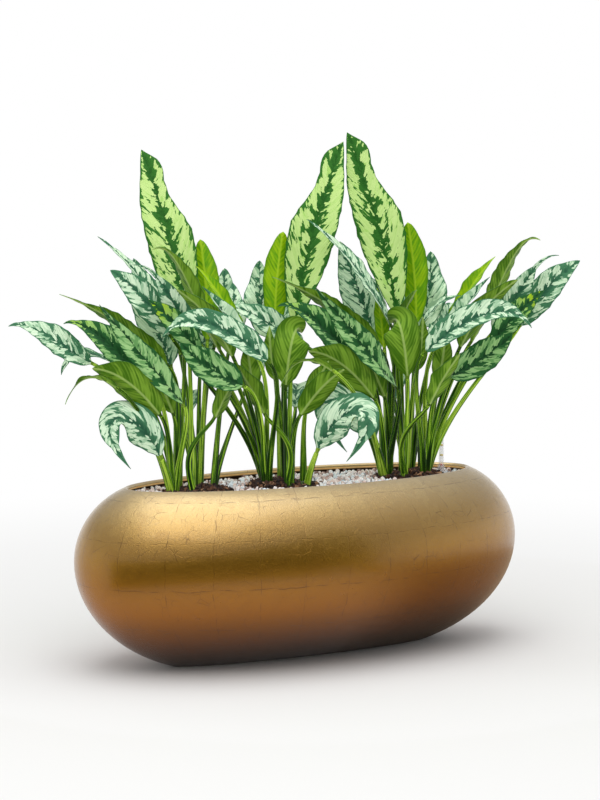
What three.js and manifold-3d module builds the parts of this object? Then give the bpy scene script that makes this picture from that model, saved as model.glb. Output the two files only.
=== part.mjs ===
import * as THREE from 'three';
import { mergeVertices } from 'three/addons/utils/BufferGeometryUtils.js';
import Module from 'manifold-3d';

// Sizes in millimetres. The origin is the centre of the planter's flat underside.

// Planter: a long bowl, oval in plan, widest at the belly
const PLANTER_LENGTH = 800;
const PLANTER_WIDTH = 400;
const PLANTER_HEIGHT = 290;
const BELLY_HEIGHT = 174;
const RIM_INSET = 83;
const FOOT_INSET = 161;
const SHOULDER_ROUND = 0.922;
const FOOT_ROUND = 0.923;
const WALL = 8;
const PLANTER_SIDES = 40;

// Fit between pieces that only rest on or in each other
const GAP = 0.4;

// Filling
const SOIL_LEVEL = 278;
const MIX_TOP_LEVEL = 272.6;
const GRANULE_THICKNESS = 8;
const GRANULE_RELIEF = 7;
const GRANULE_CELL = 22;
const GRANULE_INSET = 6;
const GRANULE_SHIFT_Y = -3;
const ROOT_BALL_BOTTOM = 150;
const ROOT_BALL_TOP = 276;
const CANE_DEPTH = 36;
const CANE_ABOVE_SOIL = 11;
const CANE_RADIUS = 11.4;

// Water level gauge
const GAUGE_X = 271;
const TUBE_RADIUS = 4.5;
const TUBE_BORE = 3.3;
const TUBE_BOTTOM = 44;
const TUBE_TOP = 337;
const COLLAR_RADIUS = 14.5;
const COLLAR_HEIGHT = 13;
const FLOAT_TOP = 291;
const FLOAT_RADIUS = 2.7;
const ROD_RADIUS = 1.6;
const PAD_LEVEL = 278;

// Leaves
const BLADE_THICKNESS = 1.2;
const STALK_FOOT_RADIUS = 4.4;
const STALK_TOP_RADIUS = 3.0;
const STALK_OFFSET = 4.5;
const SMOOTHING = 0.12;
const STALK_SEGMENTS = 3;
const BLADE_SEGMENTS = 7;
const NARROW_SEGMENTS = 5;
const NARROW_WIDTH = 46;
const VIEW_DISTANCE = 4057;
const VIEW_LEVEL = 548;

// The plants are laid out along a line turned 30 degrees from the planter's length
const RIGHT = new THREE.Vector3(Math.cos(Math.PI / 6), -Math.sin(Math.PI / 6), 0);
const AWAY = new THREE.Vector3(Math.sin(Math.PI / 6), Math.cos(Math.PI / 6), 0);

// Cane centres in a clump: right and away from its middle
const CANES = {
  a: [-33, -14],
  b: [-27, 14],
  c: [-4, -27],
  d: [-2, 4],
  e: [29, -18],
  f: [30, 12],
  k: [6, 32],
};

// One leaf: its name, cane, blade width, the way its upper face looks, and its blade's line as points
// to the right, away and up from the soil, then what sets it apart
function leaf(name, cane, width, face, line, more = {}) {
  return { name, cane, width, face, line, ...more };
}

const LEAVES = [
  leaf('tall', 'd', 76, [0.1, -1, 0.2],
    [[-14, 22, 262], [-34, 40, 412], [-98, 70, 572]],
    { wave: 5, fold: 8, full: 0.8, peak: 0.98, wobble: 0.1 }),
  leaf('fresh', 'k', 48, [0.1, 1, 0.1],
    [[19, 60, 249], [20, 70, 333], [5, 80, 421]], { wave: 1, full: 0.55, peak: 1.1 }),
  leaf('wavy', 'k', 58, [0, -1, 0.2],
    [[30, 90, 239], [49, 105, 304], [46, 125, 370]], { wave: 8, full: 0.7, wobble: 0.1 }),
  leaf('edge', 'b', 44, [0.7, -0.4, 0.6],
    [[-24, -4, 250], [-88, -30, 376], [-166, -50, 430]], { tail: 0.1, inward: 0.1 }),
  leaf('silver', 'b', 68, [-0.1, -1, 0.25],
    [[-43, 30, 208], [-73, 40, 294], [-110, 50, 390]], { full: 0.75, inward: 0.15 }),
  leaf('flap', 'b', 26, [0.2, 1, 0.1], [[-36, 8, 213], [-41, 8, 264], [-49, 8, 314]]),
  leaf('folded', 'd', 40, [-0.6, 0.5, 0.6], [[-14, -8, 224], [-9, -12, 278], [17, -10, 312]], { fold: 20 }),
  leaf('spoon', 'c', 62, [0, 0.95, 0.3],
    [[0, -62, 170], [-7, -90, 250], [-17, -70, 284], [-27, -36, 258]], { full: 0.7 }),
  leaf('dark', 'd', 28, [0.2, 0.9, 0.3], [[17, -14, 177], [27, -14, 222], [27, -10, 268]]),
  leaf('reach', 'b', 42, [-0.35, 0.35, 0.85],
    [[-44, -8, 213], [-123, -40, 300], [-222, -80, 337]], { tail: 0.15 }),
  leaf('twisted', 'a', 44, [-0.3, -0.6, 0.7],
    [[-17, -44, 152], [-73, -100, 228], [-152, -125, 323]], { twist: -110, full: 0.75 }),
  leaf('dappled', 'a', 60, [-0.1, -0.75, 0.65],
    [[-68, -45, 181], [-112, -60, 226], [-180, -85, 306], [-213, -100, 290]], { fold: 22, tail: 0.12 }),
  leaf('far', 'a', 50, [-0.1, -0.75, 0.65],
    [[-168, -60, 222], [-208, -75, 242], [-268, -90, 302], [-304, -100, 286]], { tail: 0.1 }),
  leaf('broad', 'a', 62, [-0.25, 0.75, 0.6],
    [[-54, -56, 135], [-110, -95, 215], [-163, -122, 219]], { wave: 4, full: 0.75 }),
  leaf('sickle', 'a', 26, [-0.3, 0.2, 0.9], [[-123, -75, 183], [-182, -88, 230], [-208, -98, 158]]),
  leaf('hidden', 'b', 30, [-0.3, -0.3, 0.9],
    [[-123, -10, 213], [-182, -15, 247], [-216, -20, 238], [-223, -25, 200]]),
  leaf('under', 'c', 44, [-0.3, 0.7, 0.65],
    [[-24, -36, 121], [-61, -50, 178], [-97, -62, 200]], { full: 0.75 }),
  leaf('lower', 'b', 36, [-0.3, 0.7, 0.65], [[-36, 0, 132], [-53, -8, 179], [-72, -14, 210]]),
  leaf('curl', 'a', 54, [-0.35, -0.7, 0.6],
    [[-52, -50, 62], [-90, -80, 164], [-188, -110, 154], [-100, -100, 52]], { tail: 0.1, full: 0.75 }),
  leaf('hook', 'f', 42, [-0.55, 0.6, 0.55],
    [[105, -10, 222], [152, -30, 304], [177, -50, 420], [216, -60, 396]], { tail: 0.12 }),
  leaf('lime', 'f', 34, [-0.5, -0.6, 0.6], [[74, 20, 241], [98, 20, 312], [149, 20, 366]], { fold: 25 }),
  leaf('whip', 'f', 44, [0.1, -0.9, 0.4],
    [[142, 0, 238], [187, -15, 292], [204, -20, 374], [250, -30, 370]], { tail: 0.3 }),
  leaf('end', 'f', 52, [0, -0.85, 0.5], [[189, 15, 249], [231, 8, 323], [288, 0, 360]], { full: 0.75 }),
  leaf('blade', 'e', 46, [-0.4, 0.75, 0.5],
    [[85, -60, 219], [118, -75, 296], [177, -90, 333]], { full: 0.75 }),
  leaf('dusk', 'f', 42, [0.1, -0.8, 0.6], [[139, -30, 224], [181, -40, 281], [225, -50, 314]]),
  leaf('level', 'e', 54, [0, -0.8, 0.6],
    [[27, -80, 213], [79, -105, 268], [164, -125, 313], [196, -140, 258]],
    { fold: 25, tail: 0.1, full: 0.75 }),
  leaf('low', 'e', 60, [0.1, -0.8, 0.6],
    [[68, -50, 171], [130, -60, 199], [171, -70, 244]], { full: 0.75 }),
  leaf('pale', 'f', 36, [-0.3, -0.6, 0.75],
    [[47, -12, 215], [91, -18, 280], [137, -20, 334]], { fold: 40 }),
  leaf('bow', 'c', 40, [-0.3, 0.75, 0.55],
    [[34, -84, 128], [58, -90, 178], [84, -92, 212]], { via: [-36, -66, 80], full: 0.75 }),
  leaf('sprig', 'f', 16, [-0.2, -0.5, 0.85], [[27, 8, 254], [54, 3, 301], [91, -2, 302]]),
  leaf('plain', 'e', 34, [0.1, 0.9, 0.3], [[52, -34, 157], [60, -38, 200], [64, -42, 245]]),
  leaf('back1', 'k', 50, [-0.2, 0.3, 0.9], [[-30, 60, 230], [-60, 105, 330], [-110, 150, 370]]),
  leaf('back2', 'k', 54, [0, 0.2, 1], [[6, 90, 200], [14, 150, 300], [24, 220, 290]]),
  leaf('back3', 'k', 50, [0.3, 0.2, 0.9], [[46, 55, 200], [76, 105, 280], [110, 160, 280]]),
  leaf('back4', 'k', 48, [-0.2, 0.2, 0.9], [[-50, 70, 160], [-95, 115, 220], [-147, 145, 200]]),
  leaf('back5', 'k', 46, [0, 0.2, 0.9], [[-16, 76, 120], [-18, 133, 180], [-22, 195, 140]]),
  leaf('rear2', 'f', 44, [0.2, 0.2, 0.9],
    [[84, 106, 165], [98, 126, 208], [106, 150, 228]], { via: [54, 62, 84] }),
  leaf('rear3', 'f', 44, [0.2, -0.8, 0.5], [[56, 64, 236], [68, 88, 306], [60, 112, 346]]),
  leaf('rear4', 'c', 40, [-0.3, 0.75, 0.55],
    [[34, -28, 128], [54, -14, 168], [68, -4, 190]], { via: [-36, -66, 80], full: 0.75 }),
  leaf('back6', 'k', 46, [0.2, 0.2, 0.9], [[50, 66, 140], [85, 110, 195], [122, 155, 170]]),
];

const PLAIN_LEAF = {
  wave: 2.5,
  fold: 12,
  full: 0.9,
  peak: 0.76,
  tail: 0,
  wobble: 0.04,
  inward: 0.2,
  twist: 0,
};

// Plants: where each stands along the planter, whether it is mirrored, its size, how far it leans away,
// and how far each of its leaves is set back
const PLANTS = [
  {
    name: 'left',
    x: -199,
    mirror: 1,
    size: 0.9485,
    lean: 0.2,
    leaves: {
      tall: 15, fresh: 0, wavy: 0, edge: 50, silver: 30, reach: 0, twisted: 0, dappled: 0, far: 0,
      broad: 0, sickle: -12, hidden: 0, lower: 0, curl: 0, rear2: 0, rear3: 0, rear4: 0,
      back1: 30, back2: 0, back4: 0, back5: 0,
    },
  },
  {
    name: 'middle',
    x: -31,
    mirror: -1,
    size: 0.972,
    lean: 0.08,
    leaves: {
      tall: 50, fresh: 20, wavy: 20, spoon: 40, dark: 0, hook: -50, lime: -45, whip: -50, end: -73,
      blade: -30, dusk: -46, level: -50, low: -48, pale: -45, bow: 32, plain: 0, curl: 0, under: -3,
      lower: 0, back2: 14, back5: 0,
    },
  },
  {
    name: 'right',
    x: 200,
    mirror: 1,
    size: 1.0,
    lean: 0.0,
    leaves: {
      tall: 0, fresh: 0, wavy: 0, edge: 0, silver: 0, flap: 0, folded: 0, spoon: 0, dark: 0, reach: 0,
      twisted: 0, dappled: 0, far: 0, broad: 0, sickle: -115, lower: 0, curl: 0, hook: 0, lime: 0,
      whip: 0, end: 0, blade: 0, dusk: 0, level: 0, low: 0, pale: 0, bow: 0, sprig: 0, plain: 0,
      back1: 0, back2: 0, back3: 0, back4: 0, back5: 0, back6: 0,
    },
  },
];

// Colours as the photograph shows them
function finish(red, green, blue, roughness, metalness = 0, opacity = 1) {
  return new THREE.MeshStandardMaterial({
    color: new THREE.Color().setRGB(red, green, blue, THREE.SRGBColorSpace),
    roughness,
    metalness,
    opacity,
    transparent: opacity < 1,
  });
}

const GOLD_LEAF = finish(0.62, 0.46, 0.22, 0.38, 0.8);
const POTTING_MIX = finish(0.13, 0.09, 0.07, 0.95);
const BARK_MIX = finish(0.2, 0.12, 0.08, 0.95);
const PUMICE = finish(0.82, 0.8, 0.79, 0.9);
const CLEAR_PLASTIC = finish(0.9, 0.93, 0.93, 0.1, 0, 0.35);
const RED_PLASTIC = finish(0.72, 0.1, 0.08, 0.4);
const LEAF_GREEN = finish(0.42, 0.58, 0.34, 0.5);

// Solids
const wasm = await Module();
wasm.setup();

function toManifold(geometry) {
  const clean = geometry.index ? geometry.toNonIndexed() : geometry.clone();
  clean.deleteAttribute('normal');
  clean.deleteAttribute('uv');
  const merged = mergeVertices(clean, 1e-3);
  return new wasm.Manifold(new wasm.Mesh({
    numProp: 3,
    vertProperties: new Float32Array(merged.attributes.position.array),
    triVerts: new Uint32Array(merged.index.array),
  }));
}

function fromManifold(solid) {
  const mesh = solid.getMesh();
  const geometry = new THREE.BufferGeometry();
  geometry.setAttribute('position', new THREE.BufferAttribute(new Float32Array(mesh.vertProperties), 3));
  geometry.setIndex(new THREE.BufferAttribute(new Uint32Array(mesh.triVerts), 1));
  const flat = geometry.toNonIndexed();
  flat.computeVertexNormals();
  return flat;
}

function fromFaces(points, faces) {
  const geometry = new THREE.BufferGeometry();
  geometry.setAttribute('position', new THREE.Float32BufferAttribute(points.flat(), 3));
  geometry.setIndex(faces.flat());
  return geometry;
}

// Rings of points, closed by a point at each end. From one ring on, the quads are split the other way, so
// that a wall's inner face is split like the filling against it.
function closedLoft(first, rings, last, turnAt = Infinity) {
  const sides = rings[0].length;
  const points = [first, ...rings.flat(), last];
  const faces = [];
  const end = points.length - 1;
  for (let side = 0; side < sides; side += 1) {
    const next = (side + 1) % sides;
    faces.push([0, 1 + next, 1 + side]);
    for (let ring = 0; ring < rings.length - 1; ring += 1) {
      const low = 1 + ring * sides;
      const high = low + sides;
      if (ring < turnAt) {
        faces.push([low + side, low + next, high + next], [low + side, high + next, high + side]);
      } else {
        faces.push([low + side, low + next, high + side], [low + next, high + next, high + side]);
      }
    }
    const top = 1 + (rings.length - 1) * sides;
    faces.push([top + side, top + next, end]);
  }
  return fromFaces(points, faces);
}

function ovalRing(lengthHalf, widthHalf, height, shiftY = 0, sides = PLANTER_SIDES) {
  const ring = [];
  for (let side = 0; side < sides; side += 1) {
    const angle = (2 * Math.PI * side) / sides;
    ring.push([lengthHalf * Math.cos(angle), shiftY + widthHalf * Math.sin(angle), height]);
  }
  return ring;
}

function post(x, y, radiusX, radiusY, bottom, top, sides, turn = 0) {
  const ring = (height) => {
    const corners = [];
    for (let side = 0; side < sides; side += 1) {
      const angle = turn + (2 * Math.PI * side) / sides;
      corners.push([x + radiusX * Math.cos(angle), y + radiusY * Math.sin(angle), height]);
    }
    return corners;
  };
  return closedLoft([x, y, bottom], [ring(bottom), ring(top)], [x, y, top]);
}

// Planter: how far its surface stands in from the widest outline at a height, and that inset's slope
function bowlInset(height) {
  const upper = height >= BELLY_HEIGHT;
  const span = upper ? PLANTER_HEIGHT - BELLY_HEIGHT : BELLY_HEIGHT;
  const share = Math.abs(height - BELLY_HEIGHT) / span;
  const total = upper ? RIM_INSET : FOOT_INSET;
  const round = upper ? SHOULDER_ROUND : FOOT_ROUND;
  const root = Math.sqrt(1 - (round * share) ** 2);
  const scale = total / (1 - Math.sqrt(1 - round ** 2));
  const slope = ((scale * round * round * share) / root / span) * (upper ? 1 : -1);
  return { inset: scale * (1 - root), slope };
}

// A point on the bowl's surface moved inwards by a depth, square to the surface
function bowlPoint(height, depth) {
  const { inset, slope } = bowlInset(height);
  const size = Math.hypot(1, slope);
  return { inset: inset + depth / size, height: height - (depth * slope) / size };
}

function bowlRing(point) {
  return ovalRing(PLANTER_LENGTH / 2 - point.inset, PLANTER_WIDTH / 2 - point.inset, point.height);
}

const OUTER_HEIGHTS = [0, 6, 22, 52, 96, 146, 196, 234, 260, 278, 290];
const INNER_HEIGHTS = [0, 14, 44, 92, 150, 205, 245, MIX_TOP_LEVEL];

function planterGeometry() {
  const rings = OUTER_HEIGHTS.map((height) => bowlRing(bowlPoint(height, 0)));
  const { slope } = bowlInset(PLANTER_HEIGHT);
  const size = Math.hypot(1, slope);
  const middle = bowlPoint(PLANTER_HEIGHT, WALL / 2);
  for (const angle of [60, 120, 180]) {
    const along = (WALL / 2) * Math.sin((angle * Math.PI) / 180);
    const out = (WALL / 2) * Math.cos((angle * Math.PI) / 180);
    rings.push(bowlRing({
      inset: middle.inset + (along * slope - out) / size,
      height: middle.height + (along + out * slope) / size,
    }));
  }
  const innerFrom = rings.length;
  for (const height of [283, ...INNER_HEIGHTS.toReversed()]) {
    rings.push(bowlRing(bowlPoint(height, WALL)));
  }
  const floor = bowlPoint(0, WALL).height;
  return closedLoft([0, 0, 0], rings, [0, 0, floor], innerFrom);
}

// Root balls: an uneven outline round each clump, standing a little to the right of its middle
const BALL_SIDES = 12;
const BALL_HALF_LENGTH = 63;
const BALL_HALF_WIDTH = 52;
const BALL_SHIFT = 6;
const BALL_SIDE_HEIGHT = ROOT_BALL_TOP - 9 - ROOT_BALL_BOTTOM;
const BALL_OUTLINE = [1.02, 0.95, 1.0, 1.05, 0.97, 1.0, 0.94, 1.03, 1.0, 0.96, 1.04, 0.98];
const BALL_LIFTS = [1.6, -1.2, 0.8, 2.0, -0.6, 1.0, -1.6, 1.4, 0.2, 2.2, -1.0, 0.6];

function ballRing(plant, reach, grow, height, lifts = 0) {
  const ring = [];
  for (let side = 0; side < BALL_SIDES; side += 1) {
    const angle = (2 * Math.PI * side) / BALL_SIDES;
    const out = BALL_OUTLINE[side] * reach;
    const right = BALL_SHIFT * plant.mirror + (BALL_HALF_LENGTH * out + grow) * Math.cos(angle);
    const away = (BALL_HALF_WIDTH * out + grow) * Math.sin(angle);
    ring.push([
      plant.x + plant.size * (right * RIGHT.x + away * AWAY.x),
      plant.size * (right * RIGHT.y + away * AWAY.y),
      height + lifts * BALL_LIFTS[(side * 5) % BALL_SIDES],
    ]);
  }
  return ring;
}

function centreOf(ring) {
  const sum = ring.reduce((total, point) => total.map((value, axis) => value + point[axis]), [0, 0, 0]);
  return sum.map((value) => value / ring.length);
}

function ballSolid(plant) {
  const bottom = ballRing(plant, 0.86, 0, ROOT_BALL_BOTTOM);
  const rings = [
    bottom,
    ballRing(plant, 1, 0, ROOT_BALL_BOTTOM + BALL_SIDE_HEIGHT),
    ballRing(plant, 0.86, 0, ROOT_BALL_TOP - 2, 0.8),
    ballRing(plant, 0.6, 0, ROOT_BALL_TOP, -0.7),
    ballRing(plant, 0.28, 0, ROOT_BALL_TOP, 0.7),
  ];
  let solid = toManifold(closedLoft(centreOf(bottom), rings, centreOf(rings[4])));
  for (const name of canesOf(plant)) {
    solid = solid.subtract(toManifold(canePost(plant, name, GAP, GAP, 30)));
  }
  return solid;
}

// The room that a root ball takes in the mix or in the granules
function ballRoom(plant, grow, bottom, top) {
  const reach = (height) => Math.min(0.86 + 0.14 * ((height - ROOT_BALL_BOTTOM) / BALL_SIDE_HEIGHT), 1);
  const low = ballRing(plant, reach(bottom), grow, bottom);
  const middle = ballRing(plant, 1, grow, ROOT_BALL_BOTTOM + BALL_SIDE_HEIGHT);
  const high = ballRing(plant, 1, grow, top);
  return toManifold(closedLoft(centreOf(low), [low, middle, high], centreOf(high)));
}

// Leaves
function bezier(points, share) {
  let row = points.map((point) => point.clone());
  while (row.length > 1) {
    row = row.slice(1).map((point, index) => row[index].clone().lerp(point, share));
  }
  return row[0];
}

// A point of a plant, right, away and up from its middle at the soil, in the planter's frame.
// A plant that leans keeps its outline as seen from the front.
function placed(plant, point, back = 0) {
  let [right, away, up] = point;
  away += back;
  up -= (back * (VIEW_LEVEL - up)) / VIEW_DISTANCE;
  const lean = plant.lean * up;
  away += lean;
  up -= (lean * (VIEW_LEVEL - up)) / VIEW_DISTANCE;
  return new THREE.Vector3(plant.x, 0, SOIL_LEVEL + up * plant.size)
    .addScaledVector(RIGHT, right * plant.mirror * plant.size)
    .addScaledVector(AWAY, away * plant.size);
}

function placedWay(plant, way) {
  return new THREE.Vector3(0, 0, way[2])
    .addScaledVector(RIGHT, way[0] * plant.mirror)
    .addScaledVector(AWAY, way[1])
    .normalize();
}

function canePost(plant, name, grow, drop, above) {
  const centre = placed(plant, [CANES[name][0], CANES[name][1], 0]);
  const radius = CANE_RADIUS * plant.size + grow;
  const bottom = SOIL_LEVEL - CANE_DEPTH * plant.size - drop;
  return post(centre.x, centre.y, radius, radius, bottom, SOIL_LEVEL + above, 8, Math.PI / 8);
}

// Where a line stands at a share of its length, with the way it runs, its upper side and its right side
function frameAt(points, share, face, roll) {
  const step = 0.001;
  const before = bezier(points, Math.max(share - step, 0));
  const after = bezier(points, Math.min(share + step, 1));
  const ahead = after.sub(before).normalize();
  const upper = face.clone().addScaledVector(ahead, -face.dot(ahead)).normalize();
  const side = ahead.clone().cross(upper);
  return {
    point: bezier(points, share),
    upper: upper.clone().multiplyScalar(Math.cos(roll)).addScaledVector(side, Math.sin(roll)),
    side: side.clone().multiplyScalar(Math.cos(roll)).addScaledVector(upper, -Math.sin(roll)),
  };
}

// Six points round a line: upper left, top, upper right, lower right, bottom, lower left
function stalkRing(frame, radius, crown) {
  const at = (across, high) => frame.point.clone()
    .addScaledVector(frame.side, across * radius)
    .addScaledVector(frame.upper, high * radius)
    .toArray();
  return [at(-0.87, 0.5), at(0, crown), at(0.87, 0.5), at(0.87, -0.5), at(0, -1), at(-0.87, -0.5)];
}

function bladeRing(row, plant, frame, share) {
  const half = (row.width * plant.size) / 2;
  const filled = Math.min(share / (1 - row.tail), 1);
  const outline = Math.max(Math.sin(Math.PI * filled ** row.peak), 0) ** row.full;
  const stalkRadius = STALK_TOP_RADIUS * plant.size;
  const reach = Math.max(half * outline, (1 - share) * stalkRadius * 0.87, 1);
  const fold = THREE.MathUtils.degToRad(row.fold);
  const thick = BLADE_THICKNESS / 2;
  const keel = stalkRadius * (1 - share) ** 1.5;
  const edge = (way) => {
    const phase = way * plant.mirror < 0 ? 0 : 1.9;
    const lift = row.wave * plant.size * (reach / half) * Math.sin(4 * Math.PI * share + phase);
    const sway = 1 + row.wobble * Math.sin(3.2 * Math.PI * share + phase + 1);
    return frame.point.clone()
      .addScaledVector(frame.side, way * reach * sway * Math.cos(fold))
      .addScaledVector(frame.upper, reach * Math.sin(fold) + lift);
  };
  const moved = (point, high) => point.clone().addScaledVector(frame.upper, high).toArray();
  const left = edge(-1);
  const right = edge(1);
  return [
    moved(left, thick),
    moved(frame.point, thick),
    moved(right, thick),
    moved(right, -thick),
    moved(frame.point, -thick - keel),
    moved(left, -thick),
  ];
}

function leafRings(row, plant, back) {
  const cane = CANES[row.cane];
  const base = row.line[0];
  const away = Math.hypot(base[0] - cane[0], base[1] - cane[1]);
  const wayX = (base[0] - cane[0]) / Math.max(away, 1e-6);
  const wayY = (base[1] - cane[1]) / Math.max(away, 1e-6);
  const blade = row.line.map((point) => placed(plant, point, back));
  const outward = (spread, up) => placed(plant, [cane[0] + spread * wayX, cane[1] + spread * wayY, up]);
  const foot = outward(STALK_OFFSET, -6);
  const rise = row.via
    ? [outward(STALK_OFFSET, 30), placed(plant, row.via, back / 2)]
    : [outward(STALK_OFFSET + 0.15 * away, 0.45 * base[2] - 6)];
  const reach = blade[0].distanceTo(foot);
  const ahead = blade[1].clone().sub(blade[0]).normalize();
  const neck = blade[0].clone().addScaledVector(ahead, -reach * row.inward);
  const stalk = [foot, ...rise, neck, blade[0]];
  const face = placedWay(plant, row.face);
  const rings = [];
  for (let step = 0; step < STALK_SEGMENTS; step += 1) {
    const share = step / STALK_SEGMENTS;
    const radius = THREE.MathUtils.lerp(STALK_FOOT_RADIUS, STALK_TOP_RADIUS, share) * plant.size;
    rings.push(stalkRing(frameAt(stalk, share, face, 0), radius, 1));
  }
  const segments = row.width < NARROW_WIDTH ? NARROW_SEGMENTS : BLADE_SEGMENTS;
  for (let step = 0; step <= segments; step += 1) {
    const share = step / segments;
    const roll = THREE.MathUtils.degToRad(row.twist) * plant.mirror * (share - 0.3);
    const frame = frameAt(blade, share, face, roll);
    rings.push(step === 0
      ? stalkRing(frame, STALK_TOP_RADIUS * plant.size, 0.8)
      : bladeRing(row, plant, frame, share));
  }
  return rings;
}

// The skin over six-point rings, split into triangles alike on its upper and lower face
function leafGeometry(rings) {
  const faces = [];
  for (let ring = 0; ring < rings.length - 1; ring += 1) {
    for (let side = 0; side < 6; side += 1) {
      const here = ring * 6 + side;
      const next = ring * 6 + ((side + 1) % 6);
      if (side === 0 || side > 3) {
        faces.push([here, next, next + 6], [here, next + 6, here + 6]);
      } else {
        faces.push([here, next, here + 6], [next, next + 6, here + 6]);
      }
    }
  }
  const end = (rings.length - 1) * 6;
  faces.push([0, 5, 4], [0, 4, 1], [1, 4, 3], [1, 3, 2]);
  faces.push([end, end + 4, end + 5], [end, end + 1, end + 4]);
  faces.push([end + 1, end + 3, end + 4], [end + 1, end + 2, end + 3]);
  return fromFaces(rings.flat(), faces);
}

// The canes of a plant that carry leaves
function canesOf(plant) {
  const names = LEAVES.filter((row) => row.name in plant.leaves).map((row) => row.cane);
  return Object.keys(CANES).filter((name) => names.includes(name));
}

// A cane with all its leaves, grown as one piece
function stemSolid(plant, name) {
  let solid = toManifold(canePost(plant, name, 0, 0, CANE_ABOVE_SOIL * plant.size));
  for (const row of LEAVES.filter((each) => each.cane === name && each.name in plant.leaves)) {
    const rings = leafRings({ ...PLAIN_LEAF, ...row }, plant, plant.leaves[row.name]);
    solid = solid.add(toManifold(leafGeometry(rings)));
  }
  const grown = largestBody(solid);
  return largestBody(grown.simplify(SMOOTHING));
}

// Leaves that touch can seal a small hollow or leave a scrap, each a body of its own: only the plant stays,
// with its points that lie almost on each other made one
function largestBody(joined) {
  const solid = toManifold(fromManifold(joined));
  return solid.decompose().sort((one, other) => other.volume() - one.volume())[0];
}

// Filling of the bowl
function mixSolid() {
  const rings = INNER_HEIGHTS.map((height) => bowlRing(bowlPoint(height, WALL + GAP)));
  const floor = rings[0][0][2];
  const top = rings[rings.length - 1][0][2];
  let solid = toManifold(closedLoft([0, 0, floor], rings, [0, 0, top]));
  for (const plant of PLANTS) {
    solid = solid.subtract(ballRoom(plant, GAP, ROOT_BALL_BOTTOM - GAP, 300));
  }
  const hole = post(GAUGE_X, 0, TUBE_RADIUS + GAP, TUBE_RADIUS + GAP, TUBE_BOTTOM - GAP, 300, 12);
  return { solid: solid.subtract(toManifold(hole)), top };
}

// Granules as relief: an uneven sheet whose points stand high and low by a seeded rule
function seeded(first) {
  let state = first;
  return () => {
    state = (state * 1664525 + 1013904223) % 4294967296;
    return state / 4294967296;
  };
}

function granuleSolid(mixTop) {
  const random = seeded(7);
  const bottom = mixTop + GAP;
  const columns = 31;
  const rows = 15;
  const points = [];
  for (let row = 0; row < rows; row += 1) {
    for (let column = 0; column < columns; column += 1) {
      const stagger = row % 2 === 0 ? 0 : GRANULE_CELL / 2;
      const x = (column - (columns - 1) / 2) * GRANULE_CELL + stagger;
      const y = (row - (rows - 1) / 2) * GRANULE_CELL * 0.87 + GRANULE_SHIFT_Y;
      const near = Math.hypot(x - GAUGE_X, y) < COLLAR_RADIUS + GRANULE_CELL;
      const lift = GRANULE_THICKNESS + GRANULE_RELIEF * random();
      points.push([x, y, near ? PAD_LEVEL : bottom + lift]);
    }
  }
  const above = points.length;
  const skirt = points.map((point) => [point[0], point[1], bottom - 10]);
  const faces = [];
  const sheet = (a, b, c) => faces.push([a, b, c], [above + a, above + c, above + b]);
  for (let row = 0; row < rows - 1; row += 1) {
    for (let column = 0; column < columns - 1; column += 1) {
      const a = row * columns + column;
      const b = a + 1;
      const c = a + columns;
      const d = c + 1;
      if (row % 2 === 0) {
        sheet(a, b, c);
        sheet(b, d, c);
      } else {
        sheet(a, d, c);
        sheet(a, b, d);
      }
    }
  }
  const wall = (a, b) => faces.push([a, above + a, above + b], [a, above + b, b]);
  for (let column = 0; column < columns - 1; column += 1) {
    const last = (rows - 1) * columns;
    wall(column, column + 1);
    wall(last + column + 1, last + column);
  }
  for (let row = 0; row < rows - 1; row += 1) {
    wall((row + 1) * columns, row * columns);
    wall(row * columns + columns - 1, (row + 1) * columns + columns - 1);
  }
  const relief = toManifold(fromFaces([...points, ...skirt], faces));
  const edge = [279, 284, 290].map((height) => bowlPoint(height, WALL + GRANULE_INSET));
  const mouth = edge[2].inset + 3.4;
  edge[0].height = bottom;
  edge.push({ inset: mouth, height: 283 }, { inset: mouth, height: 320 });
  const rings = edge.map(({ inset, height }) => (
    ovalRing(PLANTER_LENGTH / 2 - inset, PLANTER_WIDTH / 2 - inset, height, GRANULE_SHIFT_Y)
  ));
  const outline = closedLoft([0, GRANULE_SHIFT_Y, bottom], rings, [0, GRANULE_SHIFT_Y, 320]);
  let solid = relief.intersect(toManifold(outline));
  for (const plant of PLANTS) {
    solid = solid.subtract(ballRoom(plant, GAP, 240, 330));
  }
  const hole = post(GAUGE_X, 0, TUBE_RADIUS + GAP, TUBE_RADIUS + GAP, 200, 330, 12);
  return solid.subtract(toManifold(hole));
}

// Gauge
function turned(outline) {
  return new THREE.LatheGeometry(outline.map(([radius, height]) => new THREE.Vector2(radius, height)), 12)
    .rotateX(Math.PI / 2);
}

function tubeGeometry() {
  return turned([
    [0, TUBE_TOP - 2],
    [TUBE_BORE, TUBE_TOP - 2],
    [TUBE_BORE, TUBE_BOTTOM],
    [TUBE_RADIUS, TUBE_BOTTOM],
    [TUBE_RADIUS, TUBE_TOP - 1],
    [TUBE_RADIUS - 1, TUBE_TOP],
    [0, TUBE_TOP],
  ]);
}

function collarGeometry() {
  const low = PAD_LEVEL + GAP;
  const bore = TUBE_RADIUS + GAP;
  return turned([
    [bore, low],
    [COLLAR_RADIUS, low],
    [COLLAR_RADIUS, low + 1.5],
    [bore + 1.6, low + COLLAR_HEIGHT],
    [bore, low + COLLAR_HEIGHT],
    [bore, low],
  ]);
}

function floatGeometry() {
  return turned([
    [0, TUBE_BOTTOM],
    [FLOAT_RADIUS, TUBE_BOTTOM],
    [FLOAT_RADIUS, TUBE_BOTTOM + 30],
    [ROD_RADIUS, TUBE_BOTTOM + 34],
    [ROD_RADIUS, FLOAT_TOP - 6],
    [FLOAT_RADIUS, FLOAT_TOP - 5],
    [FLOAT_RADIUS, FLOAT_TOP],
    [0, FLOAT_TOP],
  ]);
}

// The whole object
const group = new THREE.Group();
group.name = 'potted_evergreens';

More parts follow.
